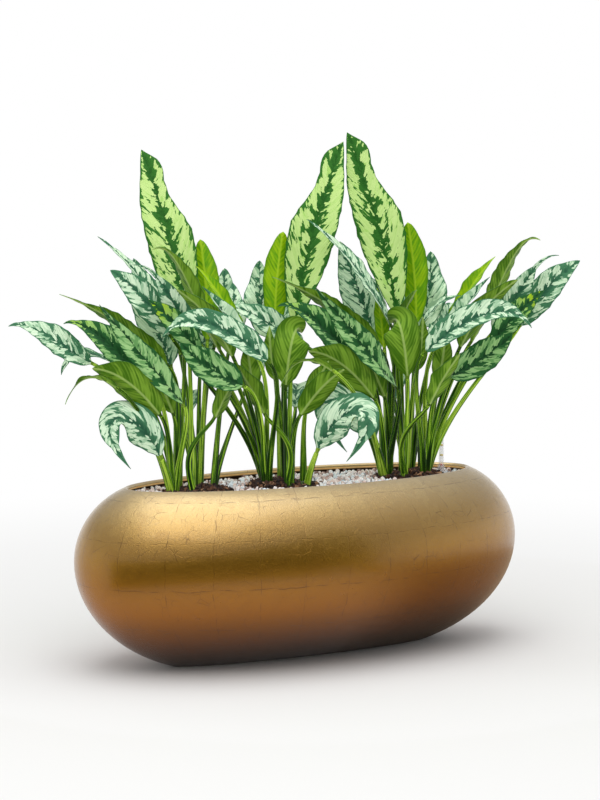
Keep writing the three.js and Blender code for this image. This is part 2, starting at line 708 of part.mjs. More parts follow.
function add(name, geometry, material, parent = group) {
  const mesh = new THREE.Mesh(geometry, material);
  mesh.name = name;
  parent.add(mesh);
  return mesh;
}

const mix = mixSolid();
add('planter', fromManifold(toManifold(planterGeometry())), GOLD_LEAF);
add('potting_mix', fromManifold(mix.solid), POTTING_MIX);
add('pumice_layer', fromManifold(granuleSolid(mix.top)), PUMICE);

const gauge = new THREE.Group();
gauge.name = 'gauge';
gauge.position.set(GAUGE_X, 0, 0);
group.add(gauge);
add('gauge_tube', tubeGeometry(), CLEAR_PLASTIC, gauge);
add('gauge_collar', collarGeometry(), CLEAR_PLASTIC, gauge);
add('gauge_float', floatGeometry(), RED_PLASTIC, gauge);

for (const plant of PLANTS) {
  add(`${plant.name}_root_ball`, fromManifold(ballSolid(plant)), BARK_MIX);
  for (const cane of canesOf(plant)) {
    add(`${plant.name}_stem_${cane}`, fromManifold(stemSolid(plant, cane)), LEAF_GREEN);
  }
}

export default group;
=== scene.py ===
# %% [markdown]
# # Three chinese evergreens in a gilded bowl planter
#
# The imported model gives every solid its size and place: a long bowl, its filling, a water level gauge
# and the canes with their leaves. This lesson dresses that model. Each step says what the real piece is,
# then builds a finer piece in the same place from the same rules, and gives it a finish made of nodes.

# %% Load the frame
import math

import bpy
import numpy as np
from mathutils import Matrix, Vector


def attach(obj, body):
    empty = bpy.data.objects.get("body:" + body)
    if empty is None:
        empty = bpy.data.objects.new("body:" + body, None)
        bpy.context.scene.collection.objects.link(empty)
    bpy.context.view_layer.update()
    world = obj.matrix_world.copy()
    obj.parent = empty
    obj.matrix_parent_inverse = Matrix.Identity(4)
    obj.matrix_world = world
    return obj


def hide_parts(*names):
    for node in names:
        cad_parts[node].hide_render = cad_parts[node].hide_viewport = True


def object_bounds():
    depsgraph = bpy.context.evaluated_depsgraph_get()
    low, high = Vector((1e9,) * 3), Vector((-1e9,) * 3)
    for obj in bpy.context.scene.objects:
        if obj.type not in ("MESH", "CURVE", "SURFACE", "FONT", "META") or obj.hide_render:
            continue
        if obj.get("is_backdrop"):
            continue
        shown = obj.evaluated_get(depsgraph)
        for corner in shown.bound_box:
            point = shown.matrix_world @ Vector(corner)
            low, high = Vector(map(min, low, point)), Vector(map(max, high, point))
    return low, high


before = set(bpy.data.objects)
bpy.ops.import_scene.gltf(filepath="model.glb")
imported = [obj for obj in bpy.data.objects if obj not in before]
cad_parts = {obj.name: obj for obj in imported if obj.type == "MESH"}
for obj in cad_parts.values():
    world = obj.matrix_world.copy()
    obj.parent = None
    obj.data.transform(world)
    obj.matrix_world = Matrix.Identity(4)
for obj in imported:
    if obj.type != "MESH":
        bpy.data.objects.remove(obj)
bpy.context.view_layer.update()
print("nodes in the frame:", len(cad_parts))

# %% [markdown]
# ## Units and small helpers
#
# Blender works in metres, and the plant and the bowl are easier to think of in millimetres. So every
# piece is worked out in millimetres, and one function turns its points into a mesh. The same function
# lets the piece ride on the frame's one body.

# %% Pieces
MM = 0.001


def add_piece(name, points, faces, materials, which=None, smooth=True):
    """Makes one object from points in millimetres, and lets it ride on the frame."""
    mesh = bpy.data.meshes.new(name)
    mesh.from_pydata((np.asarray(points) * MM).tolist(), [], faces)
    for material in materials:
        mesh.materials.append(material)
    if which is not None:
        mesh.polygons.foreach_set("material_index", which)
    mesh.polygons.foreach_set("use_smooth", [smooth] * len(mesh.polygons))
    mesh.update()
    made = bpy.data.objects.new(name, mesh)
    bpy.context.scene.collection.objects.link(made)
    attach(made, "root")
    print(name, "has", sum(len(face) - 2 for face in faces), "triangles")
    return made


def give(piece, name, values):
    """Stores three numbers for each point of a piece, for its finish to read."""
    stored = piece.data.attributes.new(name, "FLOAT_VECTOR", "POINT")
    stored.data.foreach_set("vector", np.asarray(values, float).ravel())


print("one millimetre is", MM, "of Blender's units")

# %% Skins over rings
def loft(rings, first=None, last=None):
    """Points and faces of a skin over rings of points, each end closed by one point."""
    count, sides = rings.shape[:2]
    points = list(rings.reshape(-1, 3))
    faces = []
    for ring in range(count - 1):
        for side in range(sides):
            low = ring * sides + side
            next_low = ring * sides + (side + 1) % sides
            faces.append((low, next_low, next_low + sides, low + sides))
    for centre, ring, turned in ((first, 0, True), (last, count - 1, False)):
        if centre is None:
            continue
        points.append(np.asarray(centre, float))
        end = len(points) - 1
        for side in range(sides):
            here = ring * sides + side
            near = ring * sides + (side + 1) % sides
            faces.append((near, here, end) if turned else (here, near, end))
    return np.array(points), faces


def oval_ring(half_length, half_width, height, sides):
    """One oval of points round the planter's middle."""
    angle = np.arange(sides) * 2 * np.pi / sides
    return np.stack([half_length * np.cos(angle), half_width * np.sin(angle),
                     np.full(sides, float(height))], 1)


print("a ring of four points:", oval_ring(2, 1, 0, 4).round(3).tolist())

# %% [markdown]
# ## Colours and nodes
#
# Colours are written as sRGB hex values, the way a paint chart or a picture gives them, and one function
# turns them into the linear values that shaders use. One more function adds a node with its settings and
# links, so that each finish below reads as a list of what it is made of.

# %% Colour and node helpers
def linear(code):
    """An sRGB hex colour as linear red, green, blue and alpha."""
    parts = [int(code[at:at + 2], 16) / 255 for at in (1, 3, 5)]
    turned = [part / 12.92 if part <= 0.04045 else ((part + 0.055) / 1.055) ** 2.4 for part in parts]
    return (*turned, 1.0)


def plug(tree, socket, value):
    """Sets a number or a hex colour on an input, or links a node or a socket to it."""
    if isinstance(value, bpy.types.Node):
        value = next(output for output in value.outputs if output.enabled)
    if isinstance(value, bpy.types.NodeSocket):
        tree.links.new(value, socket)
    else:
        socket.default_value = linear(value) if isinstance(value, str) else value


def add_node(tree, kind, *values, stops=(), **settings):
    """Adds one shader node with its settings. Values go to the inputs in use, in order, or a dictionary
    names them. Stops are the places and the colours or grey values of a colour ramp."""
    made = tree.nodes.new("ShaderNode" + kind)
    for name, setting in settings.items():
        setattr(made, name, setting)
    if values and isinstance(values[0], dict):
        for name, value in values[0].items():
            plug(tree, made.inputs[name], value)
    else:
        for socket, value in zip([entry for entry in made.inputs if entry.enabled], values):
            plug(tree, socket, value)
    if stops:
        elements = made.color_ramp.elements
        while len(elements) < len(stops):
            elements.new(1.0)
        for element, (place, colour) in zip(elements, stops):
            element.position = place
            element.color = linear(colour) if isinstance(colour, str) else (colour, colour, colour, 1.0)
    return made


def start_material(name, **inputs):
    """A new material, its node tree and its main shader with the values that hold all over."""
    material = bpy.data.materials.new(name)
    material.use_nodes = True
    tree = material.node_tree
    shader = tree.nodes["Principled BSDF"]
    for key, value in inputs.items():
        shader.inputs[key.replace("_", " ").title().replace("Ior", "IOR")].default_value = value
    return material, tree, shader


print("white is", linear("#ffffff")[:3])

# %% [markdown]
# ## Camera
#
# The photograph looks at the planter from its front left corner, 30 degrees round and 6 degrees above
# the horizon, from about 4 metres away with a long lens. The picture is 600 by 800, so Blender's 36 mm
# sensor lies along the 800 side.

# %% Camera
CAMERA_TURN = math.radians(-29.93)
CAMERA_RISE = math.radians(5.807)
CAMERA_DISTANCE = 4056.7
CAMERA_AIM = (-6.18, -3.56, 416.2)
LENS = 112.2
SENSOR_SIDE = 36
FARTHEST = 100

camera = bpy.data.objects.new("camera", bpy.data.cameras.new("camera"))
bpy.context.scene.collection.objects.link(camera)
back = Vector((math.sin(CAMERA_TURN) * math.cos(CAMERA_RISE),
               -math.cos(CAMERA_TURN) * math.cos(CAMERA_RISE),
               math.sin(CAMERA_RISE)))
right = Vector((math.cos(CAMERA_TURN), math.sin(CAMERA_TURN), 0))
turned = Matrix((right, back.cross(right), back)).transposed().to_4x4()
place = (Vector(CAMERA_AIM) + back * CAMERA_DISTANCE) * MM
camera.matrix_world = Matrix.Translation(place) @ turned
camera.data.lens = LENS
camera.data.sensor_width = SENSOR_SIDE
camera.data.clip_end = FARTHEST
bpy.context.scene.camera = camera
print("camera stands at", [round(value, 3) for value in place])

# %% [markdown]
# ## Planter finish: gold leaf
#
# The bowl is a hard shell gilded with imitation gold leaf, thin squares of metal about 75 mm wide laid
# edge over edge by hand, with a coat of clear lacquer over them. The eye reads it from three things:
# faint seams where two squares lap, fine wrinkles and cracks inside each square, and squares that differ a
# little in tone. The metal is warmer and darker towards the foot, partly where the size under it shows
# through and partly as painted shade where the floor under the bowl lies in shadow. It is paler and
# creamier at the shoulder as a painted highlight.
#
# A picture of gold leaf would repeat and blur. So the squares are worked out from a flat map of the bowl
# in millimetres: the map is bent a little by noise, cut into squares, and each square gets its own tone.

# %% Gold leaf: squares and seams
# A metal, so it has the usual IOR. The lacquer over it is the coat: its gloss is the hard highlight, and
# the metal's own roughness is the broad glow round it. A lap is only a hair wide, and it is drawn fading
# out over 0.8 mm to each side, so that it shows.
LEAF_SQUARE = 75.0
HAND_DRIFT = 9.0
DRIFT_SIZE = 33.3
WORN_PATCH = 20.0
LAP_INNER = 0.15
LAP_OUTER = 0.825


def pattern_scale(size):
    """The scale of a pattern with features of a size, to two digits. The size is in the unit of the
    pattern's own space: millimetres on the bowl's flat map, metres in the space of a piece."""
    return float(f"{1 / size:.2g}")


gold, tree, shader = start_material("gold_leaf_laid_in_squares", metallic=1.0, coat_weight=0.65,
                                    coat_roughness=0.22)
surface = add_node(tree, "UVMap", uv_map="gilding")
wander = add_node(tree, "TexNoise", {"Vector": surface, "Scale": pattern_scale(DRIFT_SIZE), "Detail": 3.0})
drift = add_node(tree, "VectorMath", wander.outputs["Color"], (0.5, 0.5, 0.5), operation="SUBTRACT")
push = add_node(tree, "VectorMath", {0: drift, "Scale": HAND_DRIFT}, operation="SCALE")
laid = add_node(tree, "VectorMath", surface, push, operation="ADD")
square = add_node(tree, "VectorMath", laid, (1 / LEAF_SQUARE, 1 / LEAF_SQUARE, 1.0), operation="MULTIPLY")
whole = add_node(tree, "VectorMath", square, operation="FLOOR")
tone = add_node(tree, "TexWhiteNoise", whole, noise_dimensions="3D")
inside = add_node(tree, "SeparateXYZ", add_node(tree, "VectorMath", square, operation="FRACTION"))
near_x = add_node(tree, "Math", inside.outputs["X"], 0.5, operation="PINGPONG")
near_y = add_node(tree, "Math", inside.outputs["Y"], 0.5, operation="PINGPONG")
from_seam = add_node(tree, "Math", near_x, near_y, operation="MINIMUM")
seam = add_node(tree, "MapRange", from_seam, LAP_INNER / LEAF_SQUARE, LAP_OUTER / LEAF_SQUARE, 1.0, 0.0)
worn = add_node(tree, "TexNoise", {"Vector": surface, "Scale": pattern_scale(WORN_PATCH), "Detail": 4.0})
seam_shows = add_node(tree, "MapRange", worn, 0.42, 0.58, 0.0, 0.8)
seam_line = add_node(tree, "Math", seam, seam_shows, operation="MULTIPLY")
print("gold leaf is laid in squares of", LEAF_SQUARE, "mm")

# %% Gold leaf: wrinkles and tone
CREASE_FIELD = 22.2
WRINKLE_SIZE = 3.33
BOWL_TOP = 290.0

creases = add_node(tree, "TexVoronoi", {"Vector": laid, "Scale": pattern_scale(CREASE_FIELD)},
                   feature="DISTANCE_TO_EDGE")
crease = add_node(tree, "MapRange", creases, 0.004, 0.016, 1.0, 0.0)
crease_shows = add_node(tree, "MapRange", wander, 0.48, 0.64, 0.0, 0.65)
crease_line = add_node(tree, "Math", crease, crease_shows, operation="MULTIPLY")
lines = add_node(tree, "Math", seam_line, crease_line, operation="MAXIMUM")
height = add_node(tree, "SeparateXYZ", add_node(tree, "TexCoord").outputs["Object"]).outputs["Z"]
level = add_node(tree, "MapRange", height, 0.0, BOWL_TOP * MM)
# The tone by height is partly the size showing through and partly painted light: darker at the foot as
# painted shade, and paler and creamier at the shoulder as a painted highlight.
plain = add_node(tree, "ValToRGB", level, stops=[
    (0.0, "#4c301f"), (0.2, "#844e1a"), (0.36, "#9b5f12"), (0.52, "#9c6717"), (0.65, "#a07529"),
    (0.83, "#ad8c4f"), (1.0, "#bea878")])
tone_share = add_node(tree, "Math", tone, 0.14, operation="MULTIPLY")
toned = add_node(tree, "Mix", tone_share, plain, "#7d4f1c", data_type="RGBA")
line_share = add_node(tree, "Math", lines, 0.68, operation="MULTIPLY")
plug(tree, shader.inputs["Base Color"],
     add_node(tree, "Mix", line_share, toned, "#45280f", data_type="RGBA"))
plug(tree, shader.inputs["Roughness"], add_node(tree, "MapRange", worn, 0.0, 1.0, 0.24, 0.36))
wrinkle = add_node(tree, "TexNoise", {"Vector": laid, "Scale": pattern_scale(WRINKLE_SIZE),
                                      "Detail": 5.0, "Roughness": 0.6, "Distortion": 1.5})
ditch = add_node(tree, "Math", lines, 0.6, operation="MULTIPLY")
relief = add_node(tree, "Math", wrinkle, ditch, operation="SUBTRACT")
plug(tree, shader.inputs["Normal"],
     add_node(tree, "Bump", {"Height": relief, "Strength": 0.52, "Distance": 0.001}))
print("the gold leaf finish has", len(tree.nodes), "nodes")

# %% Gold paint inside the bowl
# The inner face is brushed with a satin gold paint, flakes in a clear binder, so it is far less of a
# mirror than the leaf. The rim overhangs it, and it is lit by the pale granules below: a weak glow stands
# for that light thrown up. Just over the granules the paint turns dark.
BRUSH_MARK = 25.0
DARK_BAND_TOP = 282.5
DARK_BAND_EDGE = 1.0

paint, tree, shader = start_material("gold_paint_satin", metallic=0.2, roughness=0.45,
                                     emission_strength=0.3)
space = add_node(tree, "TexCoord").outputs["Object"]
brushed = add_node(tree, "TexNoise", {"Vector": space, "Scale": pattern_scale(BRUSH_MARK * MM),
                                      "Detail": 3.0})
clean = add_node(tree, "ValToRGB", brushed, stops=[(0.3, "#cfa25c"), (0.7, "#e2bd80")])
height = add_node(tree, "SeparateXYZ", space).outputs["Z"]
# Below 282.5 mm the paint turns near black, blended over 1 mm to each side.
over_dark_band = add_node(tree, "MapRange", height, (DARK_BAND_TOP - DARK_BAND_EDGE) * MM,
                      (DARK_BAND_TOP + DARK_BAND_EDGE) * MM)
paint_colour = add_node(tree, "Mix", over_dark_band, "#24170f", clean, data_type="RGBA")
plug(tree, shader.inputs["Base Color"], paint_colour)
plug(tree, shader.inputs["Emission Color"], paint_colour)
print("the inside is darkened up to", DARK_BAND_TOP, "mm")

# %% [markdown]
# ## Planter
#
# The shell is one long oval bowl. Its side is an arc above the belly and another below it, and the lip
# is a half round between the outer and the inner face. A cylinder with a bevel could be pushed into this
# shape by hand, but a formula keeps it true to the model: the same two arcs are used, with many more
# rings and sides, so that the reflections in the metal run smoothly.

# %% Planter profile
PLANTER_LENGTH = 800.0
PLANTER_WIDTH = 400.0
PLANTER_HEIGHT = 290.0
BELLY_HEIGHT = 174.0
RIM_INSET = 83.0
FOOT_INSET = 161.0
SHOULDER_ROUND = 0.922
FOOT_ROUND = 0.923


def bowl_inset(height):
    """How far the shell stands in from its widest outline at a height, and that inset's slope."""
    upper = height >= BELLY_HEIGHT
    span = PLANTER_HEIGHT - BELLY_HEIGHT if upper else BELLY_HEIGHT
    share = abs(height - BELLY_HEIGHT) / span
    total, bend = (RIM_INSET, SHOULDER_ROUND) if upper else (FOOT_INSET, FOOT_ROUND)
    root = math.sqrt(1 - (bend * share) ** 2)
    scale = total / (1 - math.sqrt(1 - bend ** 2))
    slope = scale * bend * bend * share / root / span * (1 if upper else -1)
    return scale * (1 - root), slope


def bowl_point(height, depth):
    """The inset and height of the shell's surface moved inwards, square to the surface."""
    inset, slope = bowl_inset(height)
    size = math.hypot(1, slope)
    return inset + depth / size, height - depth * slope / size


print("the rim stands in", round(bowl_inset(PLANTER_HEIGHT)[0], 1), "mm from the belly")

# %% Planter shape
WALL = 8.0
GAP = 0.4
PLANTER_SIDES = 200
FOOT_RINGS = 26
SHOULDER_RINGS = 17
INNER_RINGS = 24
INNER_TOP = 286.0


def bowl_ring(inset, height, sides=PLANTER_SIDES):
    """One ring of the bowl at an inset and a height."""
    return oval_ring(PLANTER_LENGTH / 2 - inset, PLANTER_WIDTH / 2 - inset, height, sides)


outer = [bowl_point(height, 0) for height in np.concatenate([
    BELLY_HEIGHT * (1 - np.cos(np.linspace(0, np.pi / 2, FOOT_RINGS))),
    BELLY_HEIGHT + (PLANTER_HEIGHT - BELLY_HEIGHT) * np.linspace(0, 1, SHOULDER_RINGS + 1)[1:]])]
rim_slope = bowl_inset(PLANTER_HEIGHT)[1]
rim_size = math.hypot(1, rim_slope)
rim_middle = bowl_point(PLANTER_HEIGHT, WALL / 2)
lip = []
for angle in np.radians(np.arange(20, 181, 20)):
    along = WALL / 2 * math.sin(angle)
    out = WALL / 2 * math.cos(angle)
    lip.append((rim_middle[0] + (along * rim_slope - out) / rim_size,
                rim_middle[1] + (along + out * rim_slope) / rim_size))
inner = [bowl_point(height, WALL) for height in np.linspace(INNER_TOP, 0, INNER_RINGS)]
profile = outer + lip + inner
rings = np.array([bowl_ring(inset, height) for inset, height in profile])
points, faces = loft(rings, (0, 0, 0), (0, 0, profile[-1][1]))
painted = np.zeros(len(faces), int)
painted[(len(outer) + len(lip) // 2 + 1) * PLANTER_SIDES:(len(rings) - 1) * PLANTER_SIDES] = 1
painted[-PLANTER_SIDES:] = 1
planter = add_piece("gilded_bowl", points, faces, [gold, paint], painted)
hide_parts("planter")
print("faces with paint:", int(painted.sum()), "of", len(faces))

# %% Gilding squares
# The squares are measured along the belly one way and up the side the other way.
belly = bowl_ring(0, BELLY_HEIGHT)
round_steps = np.linalg.norm(np.roll(belly, -1, 0) - belly, axis=1)
round_place = np.concatenate([[0], np.cumsum(round_steps)])
profile_points = np.array(profile)
up_steps = np.linalg.norm(np.diff(profile_points, axis=0), axis=1)
up_place = np.concatenate([[0], np.cumsum(up_steps)])
gilding = planter.data.uv_layers.new(name="gilding")
for polygon in planter.data.polygons:
    corners = [planter.data.loops[at].vertex_index for at in polygon.loop_indices]
    sides_here = [corner % PLANTER_SIDES for corner in corners if corner < len(rings) * PLANTER_SIDES]
    wraps = max(sides_here) - min(sides_here) > PLANTER_SIDES / 2
    for at, corner in zip(polygon.loop_indices, corners):
        if corner >= len(rings) * PLANTER_SIDES:
            gilding.data[at].uv = (round_place[min(sides_here)], 0)
            continue
        ring, side = divmod(corner, PLANTER_SIDES)
        if wraps and side == 0:
            side = PLANTER_SIDES
        gilding.data[at].uv = (round_place[side], up_place[ring])
print("the belly is", round(round_place[-1]), "mm round")

# %% [markdown]
# ## Potting mix
#
# Under the granules lies peat-like potting mix, damp, dark and crumbly. It is hardly seen, so a flat disc
# would do, but a closed body with the bowl's own inner shape and an uneven top leaves no gap behind the
# granules, whichever way they lie. Crumbs are of about 4 mm, and damp peat has no gloss.

# %% Potting mix material
CRUMB_SIZE = 3.85

soil, tree, shader = start_material("potting_mix_of_dark_peat", roughness=0.95)
space = add_node(tree, "TexCoord").outputs["Object"]
crumbs = add_node(tree, "TexNoise", {"Vector": space, "Scale": pattern_scale(CRUMB_SIZE * MM),
                                     "Detail": 6.0, "Roughness": 0.7})
plug(tree, shader.inputs["Base Color"], add_node(tree, "ValToRGB", crumbs, stops=[
    (0.3, "#120b08"), (0.55, "#2c1c14"), (0.75, "#54382a")]))
plug(tree, shader.inputs["Normal"],
     add_node(tree, "Bump", {"Height": crumbs, "Strength": 0.8, "Distance": 0.003}))
print("crumbs of the mix:", CRUMB_SIZE, "mm")

# %% Bed of potting mix
MIX_TOP_LEVEL = 272.6
MIX_SIDES = 160
MIX_LUMPS = (-0.5, 3.0)
CALM_SHARE = 0.8
MIX_SEED = 11

random = np.random.default_rng(MIX_SEED)
mix_profile = [bowl_point(height, WALL + GAP) for height in np.linspace(0, MIX_TOP_LEVEL, 12)]
mix_rings = [bowl_ring(inset, height, MIX_SIDES) for inset, height in mix_profile]
top_inset, mix_top = mix_profile[-1]
for share in np.linspace(0.985, 0.05, 34):
    half_length = (PLANTER_LENGTH / 2 - top_inset) * share
    half_width = (PLANTER_WIDTH / 2 - top_inset) * share
    ring = oval_ring(half_length, half_width, mix_top, MIX_SIDES)
    ring[:, 2] += random.uniform(*MIX_LUMPS, MIX_SIDES) * (1 if share > CALM_SHARE else 0.2)
    mix_rings.append(ring)
points, faces = loft(np.array(mix_rings), (0, 0, mix_profile[0][1]), (0, 0, mix_top))
mix = add_piece("potting_mix_bed", points, faces, [soil])
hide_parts("potting_mix")
print("the mix stands", round(mix_top, 1), "mm high")

# %% [markdown]
# ## The plants' own rules
#
# Each clump has short canes, and each cane carries several leaves. A leaf is a grooved stalk that runs
# on as the midrib of a long pointed blade. The clumps stand along a line turned 30 degrees from the
# bowl's length, and one of them is the mirror image of its neighbours. Random leaves would not look like
# this plant, whose habit is known from its picture. So a leaf's line is given by three or four points on
# a smooth curve, in millimetres to the right, away and up from the middle of its clump at the soil, as in
# the model. The same leaf can then grow in each clump.

# %% Leaf table
SOIL_LEVEL = 278.0
RIGHT = np.array([math.cos(math.pi / 6), -math.sin(math.pi / 6), 0])
AWAY = np.array([math.sin(math.pi / 6), math.cos(math.pi / 6), 0])
UP = np.array([0, 0, 1.0])
CANES = {"a": (-33, -14), "b": (-27, 14), "c": (-4, -27), "d": (-2, 4), "e": (29, -18), "f": (30, 12),
         "k": (6, 32)}
LEAVES = {}
PLAIN_LEAF = dict(wave=2.5, fold=12, full=0.9, peak=0.76, tail=0, wobble=0.04, inward=0.2, twist=0,
                  via=None, look="silver", dark=0.5, tip=0, margins=None)


def leaf(name, cane, width, face, line, **more):
    """One leaf: its cane, blade width, the way its upper face looks, its line, and what sets it apart.
    look is the blade's colouring, dark is how much of it is dark green, and tip is how yellow the tip
    is. fold is in degrees, and wave in millimetres."""
    LEAVES[name] = dict(PLAIN_LEAF, cane=cane, width=width, face=face, line=line, **more)


leaf("tall", "d", 76, (0.1, -1, 0.2), [(-14, 22, 262), (-34, 40, 412), (-98, 70, 572)],
     wave=5, fold=8, full=0.8, peak=0.98, look="lime", dark=0.46,
     margins=[(0, 1, 1), (0.3, 1, 1.04), (0.56, 1.06, 1.1), (0.66, 1.1, 0.88), (0.74, 1.14, 0.7),
              (0.82, 1.1, 0.86), (0.9, 1.0, 1.6), (0.94, 1.0, 1.9), (1, 1, 1)])
leaf("fresh", "k", 48, (0.1, 1, 0.1), [(19, 60, 249), (20, 70, 333), (5, 80, 421)],
     wave=1, full=0.55, peak=1.1, look="young")
leaf("wavy", "k", 58, (0, -1, 0.2), [(30, 90, 239), (49, 105, 304), (46, 125, 370)],
     wave=8, full=0.7, wobble=0.1, dark=0.35)
leaf("edge", "b", 44, (0.7, -0.4, 0.6), [(-24, -4, 250), (-88, -30, 376), (-166, -50, 430)],
     tail=0.1, inward=0.1, dark=0.5)
leaf("silver", "b", 68, (-0.1, -1, 0.25), [(-43, 30, 208), (-73, 40, 294), (-110, 50, 390)],
     full=0.75, inward=0.15, dark=0.4)
leaf("flap", "b", 26, (0.2, 1, 0.1), [(-36, 8, 213), (-41, 8, 264), (-49, 8, 314)], look="young")
leaf("folded", "d", 40, (-0.6, 0.5, 0.6), [(-14, -8, 224), (-9, -12, 278), (17, -10, 312)],
     fold=20, dark=0.6)
leaf("spoon", "c", 62, (0, 0.95, 0.3), [(0, -62, 170), (-7, -90, 250), (-17, -70, 284), (-27, -36, 258)],
     full=0.7)
leaf("dark", "d", 28, (0.2, 0.9, 0.3), [(17, -14, 177), (27, -14, 222), (27, -10, 268)])
leaf("reach", "b", 42, (-0.35, 0.35, 0.85), [(-44, -8, 213), (-123, -40, 300), (-222, -80, 337)],
     tail=0.15)
leaf("twisted", "a", 44, (-0.3, -0.6, 0.7), [(-17, -44, 152), (-73, -100, 228), (-152, -125, 323)],
     twist=-110, full=0.75, look="silver_in_painted_shade", dark=0.5)
leaf("dappled", "a", 60, (-0.1, -0.75, 0.65),
     [(-68, -45, 181), (-112, -60, 226), (-180, -85, 306), (-213, -100, 290)],
     fold=22, tail=0.12, look="silver_in_painted_shade", dark=0.72, tip=0.5)
leaf("far", "a", 50, (-0.1, -0.75, 0.65),
     [(-168, -60, 222), (-208, -75, 242), (-268, -90, 302), (-304, -100, 286)], tail=0.1, dark=0.45)
leaf("broad", "a", 62, (-0.25, 0.75, 0.6), [(-54, -56, 135), (-110, -95, 215), (-163, -122, 219)],
     wave=4, full=0.75)
leaf("sickle", "a", 26, (-0.3, 0.2, 0.9), [(-123, -75, 183), (-182, -88, 230), (-208, -98, 158)],
     look="plain")
leaf("hidden", "b", 30, (-0.3, -0.3, 0.9),
     [(-123, -10, 213), (-182, -15, 247), (-216, -20, 238), (-223, -25, 200)])
leaf("under", "c", 44, (-0.3, 0.7, 0.65), [(-24, -36, 121), (-61, -50, 178), (-97, -62, 200)], full=0.75)
leaf("lower", "b", 36, (-0.3, 0.7, 0.65), [(-36, 0, 132), (-53, -8, 179), (-72, -14, 210)])
leaf("curl", "a", 54, (-0.35, -0.7, 0.6),
     [(-52, -50, 62), (-90, -80, 164), (-188, -110, 154), (-100, -100, 52)],
     tail=0.1, full=0.75, dark=0.5,
     margins=[(0, 1, 1), (0.2, 1.25, 1.3), (0.45, 1.2, 1.3), (0.7, 1.3, 1.1), (0.85, 1.7, 1.3), (1, 1, 1)])
leaf("hook", "f", 42, (-0.55, 0.6, 0.55),
     [(105, -10, 222), (152, -30, 304), (177, -50, 420), (216, -60, 396)], tail=0.12)
leaf("lime", "f", 34, (-0.5, -0.6, 0.6), [(74, 20, 241), (98, 20, 312), (149, 20, 366)],
     fold=25, look="young")
leaf("whip", "f", 44, (0.1, -0.9, 0.4), [(142, 0, 238), (187, -15, 292), (204, -20, 374), (250, -30, 370)],
     tail=0.3, dark=0.6)
leaf("end", "f", 52, (0, -0.85, 0.5), [(189, 15, 249), (231, 8, 323), (288, 0, 360)],
     full=0.75, dark=0.62)
leaf("blade", "e", 46, (-0.4, 0.75, 0.5), [(85, -60, 219), (118, -75, 296), (177, -90, 333)], full=0.75)
leaf("dusk", "f", 42, (0.1, -0.8, 0.6), [(139, -30, 224), (181, -40, 281), (225, -50, 314)],
     look="silver_in_painted_shade", dark=0.68, tip=1)
leaf("level", "e", 54, (0, -0.8, 0.6),
     [(27, -80, 213), (79, -105, 268), (164, -125, 313), (196, -140, 258)],
     fold=25, tail=0.1, full=0.75, dark=0.55)
leaf("low", "e", 60, (0.1, -0.8, 0.6), [(68, -50, 171), (130, -60, 199), (171, -70, 244)],
     full=0.75, look="silver_in_painted_shade", dark=0.6)
leaf("pale", "f", 36, (-0.3, -0.6, 0.75), [(47, -12, 215), (91, -18, 280), (137, -20, 334)],
     fold=40, dark=0.35)
leaf("bow", "c", 40, (-0.3, 0.75, 0.55), [(34, -84, 128), (58, -90, 178), (84, -92, 212)],
     via=(-36, -66, 80), full=0.75)
leaf("sprig", "f", 16, (-0.2, -0.5, 0.85), [(27, 8, 254), (54, 3, 301), (91, -2, 302)])
leaf("plain", "e", 34, (0.1, 0.9, 0.3), [(52, -34, 157), (60, -38, 200), (64, -42, 245)])
leaf("back1", "k", 50, (-0.2, 0.3, 0.9), [(-30, 60, 230), (-60, 105, 330), (-110, 150, 370)])
leaf("back2", "k", 54, (0, 0.2, 1), [(6, 90, 200), (14, 150, 300), (24, 220, 290)])
leaf("back3", "k", 50, (0.3, 0.2, 0.9), [(46, 55, 200), (76, 105, 280), (110, 160, 280)])
leaf("back4", "k", 48, (-0.2, 0.2, 0.9), [(-50, 70, 160), (-95, 115, 220), (-147, 145, 200)])
leaf("back5", "k", 46, (0, 0.2, 0.9), [(-16, 76, 120), (-18, 133, 180), (-22, 195, 140)])
leaf("rear2", "f", 44, (0.2, 0.2, 0.9), [(84, 106, 165), (98, 126, 208), (106, 150, 228)],
     via=(54, 62, 84))
leaf("rear3", "f", 44, (0.2, -0.8, 0.5), [(56, 64, 236), (68, 88, 306), (60, 112, 346)])
leaf("rear4", "c", 40, (-0.3, 0.75, 0.55), [(34, -28, 128), (54, -14, 168), (68, -4, 190)],
     via=(-36, -66, 80), full=0.75)
leaf("back6", "k", 46, (0.2, 0.2, 0.9), [(50, 66, 140), (85, 110, 195), (122, 155, 170)])
print("kinds of leaf:", len(LEAVES))

# %% Plant table
# Where each clump stands, its size and lean, and how far each of its leaves is set back. A leaf that
# isn't in a plant's list doesn't grow there.
PLANTS = [
    dict(name="left", x=-199, mirror=1, size=0.9485, lean=0.2, leaves=dict(
        tall=15, fresh=0, wavy=0, edge=50, silver=30, reach=0, twisted=0, dappled=0, far=0, broad=0,
        sickle=-12, hidden=0, lower=0, curl=0, rear2=0, rear3=0, rear4=0, back1=30, back2=0, back4=0,
        back5=0)),
    dict(name="middle", x=-31, mirror=-1, size=0.972, lean=0.08, leaves=dict(
        tall=50, fresh=20, wavy=20, spoon=40, dark=0, hook=-50, lime=-45, whip=-50, end=-73, blade=-30,
        dusk=-46, level=-50, low=-48, pale=-45, bow=32, plain=0, curl=0, under=-3, lower=0, back2=14,
        back5=0)),
    dict(name="right", x=200, mirror=1, size=1.0, lean=0.0, leaves=dict(
        tall=0, fresh=0, wavy=0, edge=0, silver=0, flap=0, folded=0, spoon=0, dark=0, reach=0,
        twisted=0, dappled=0, far=0, broad=0, sickle=-115, lower=0, curl=0, hook=0, lime=0, whip=0,
        end=0, blade=0, dusk=0, level=0, low=0, pale=0, bow=0, sprig=0, plain=0, back1=0, back2=0,
        back3=0, back4=0, back5=0, back6=0)),
]
print("leaves in all:", sum(len(plant["leaves"]) for plant in PLANTS))
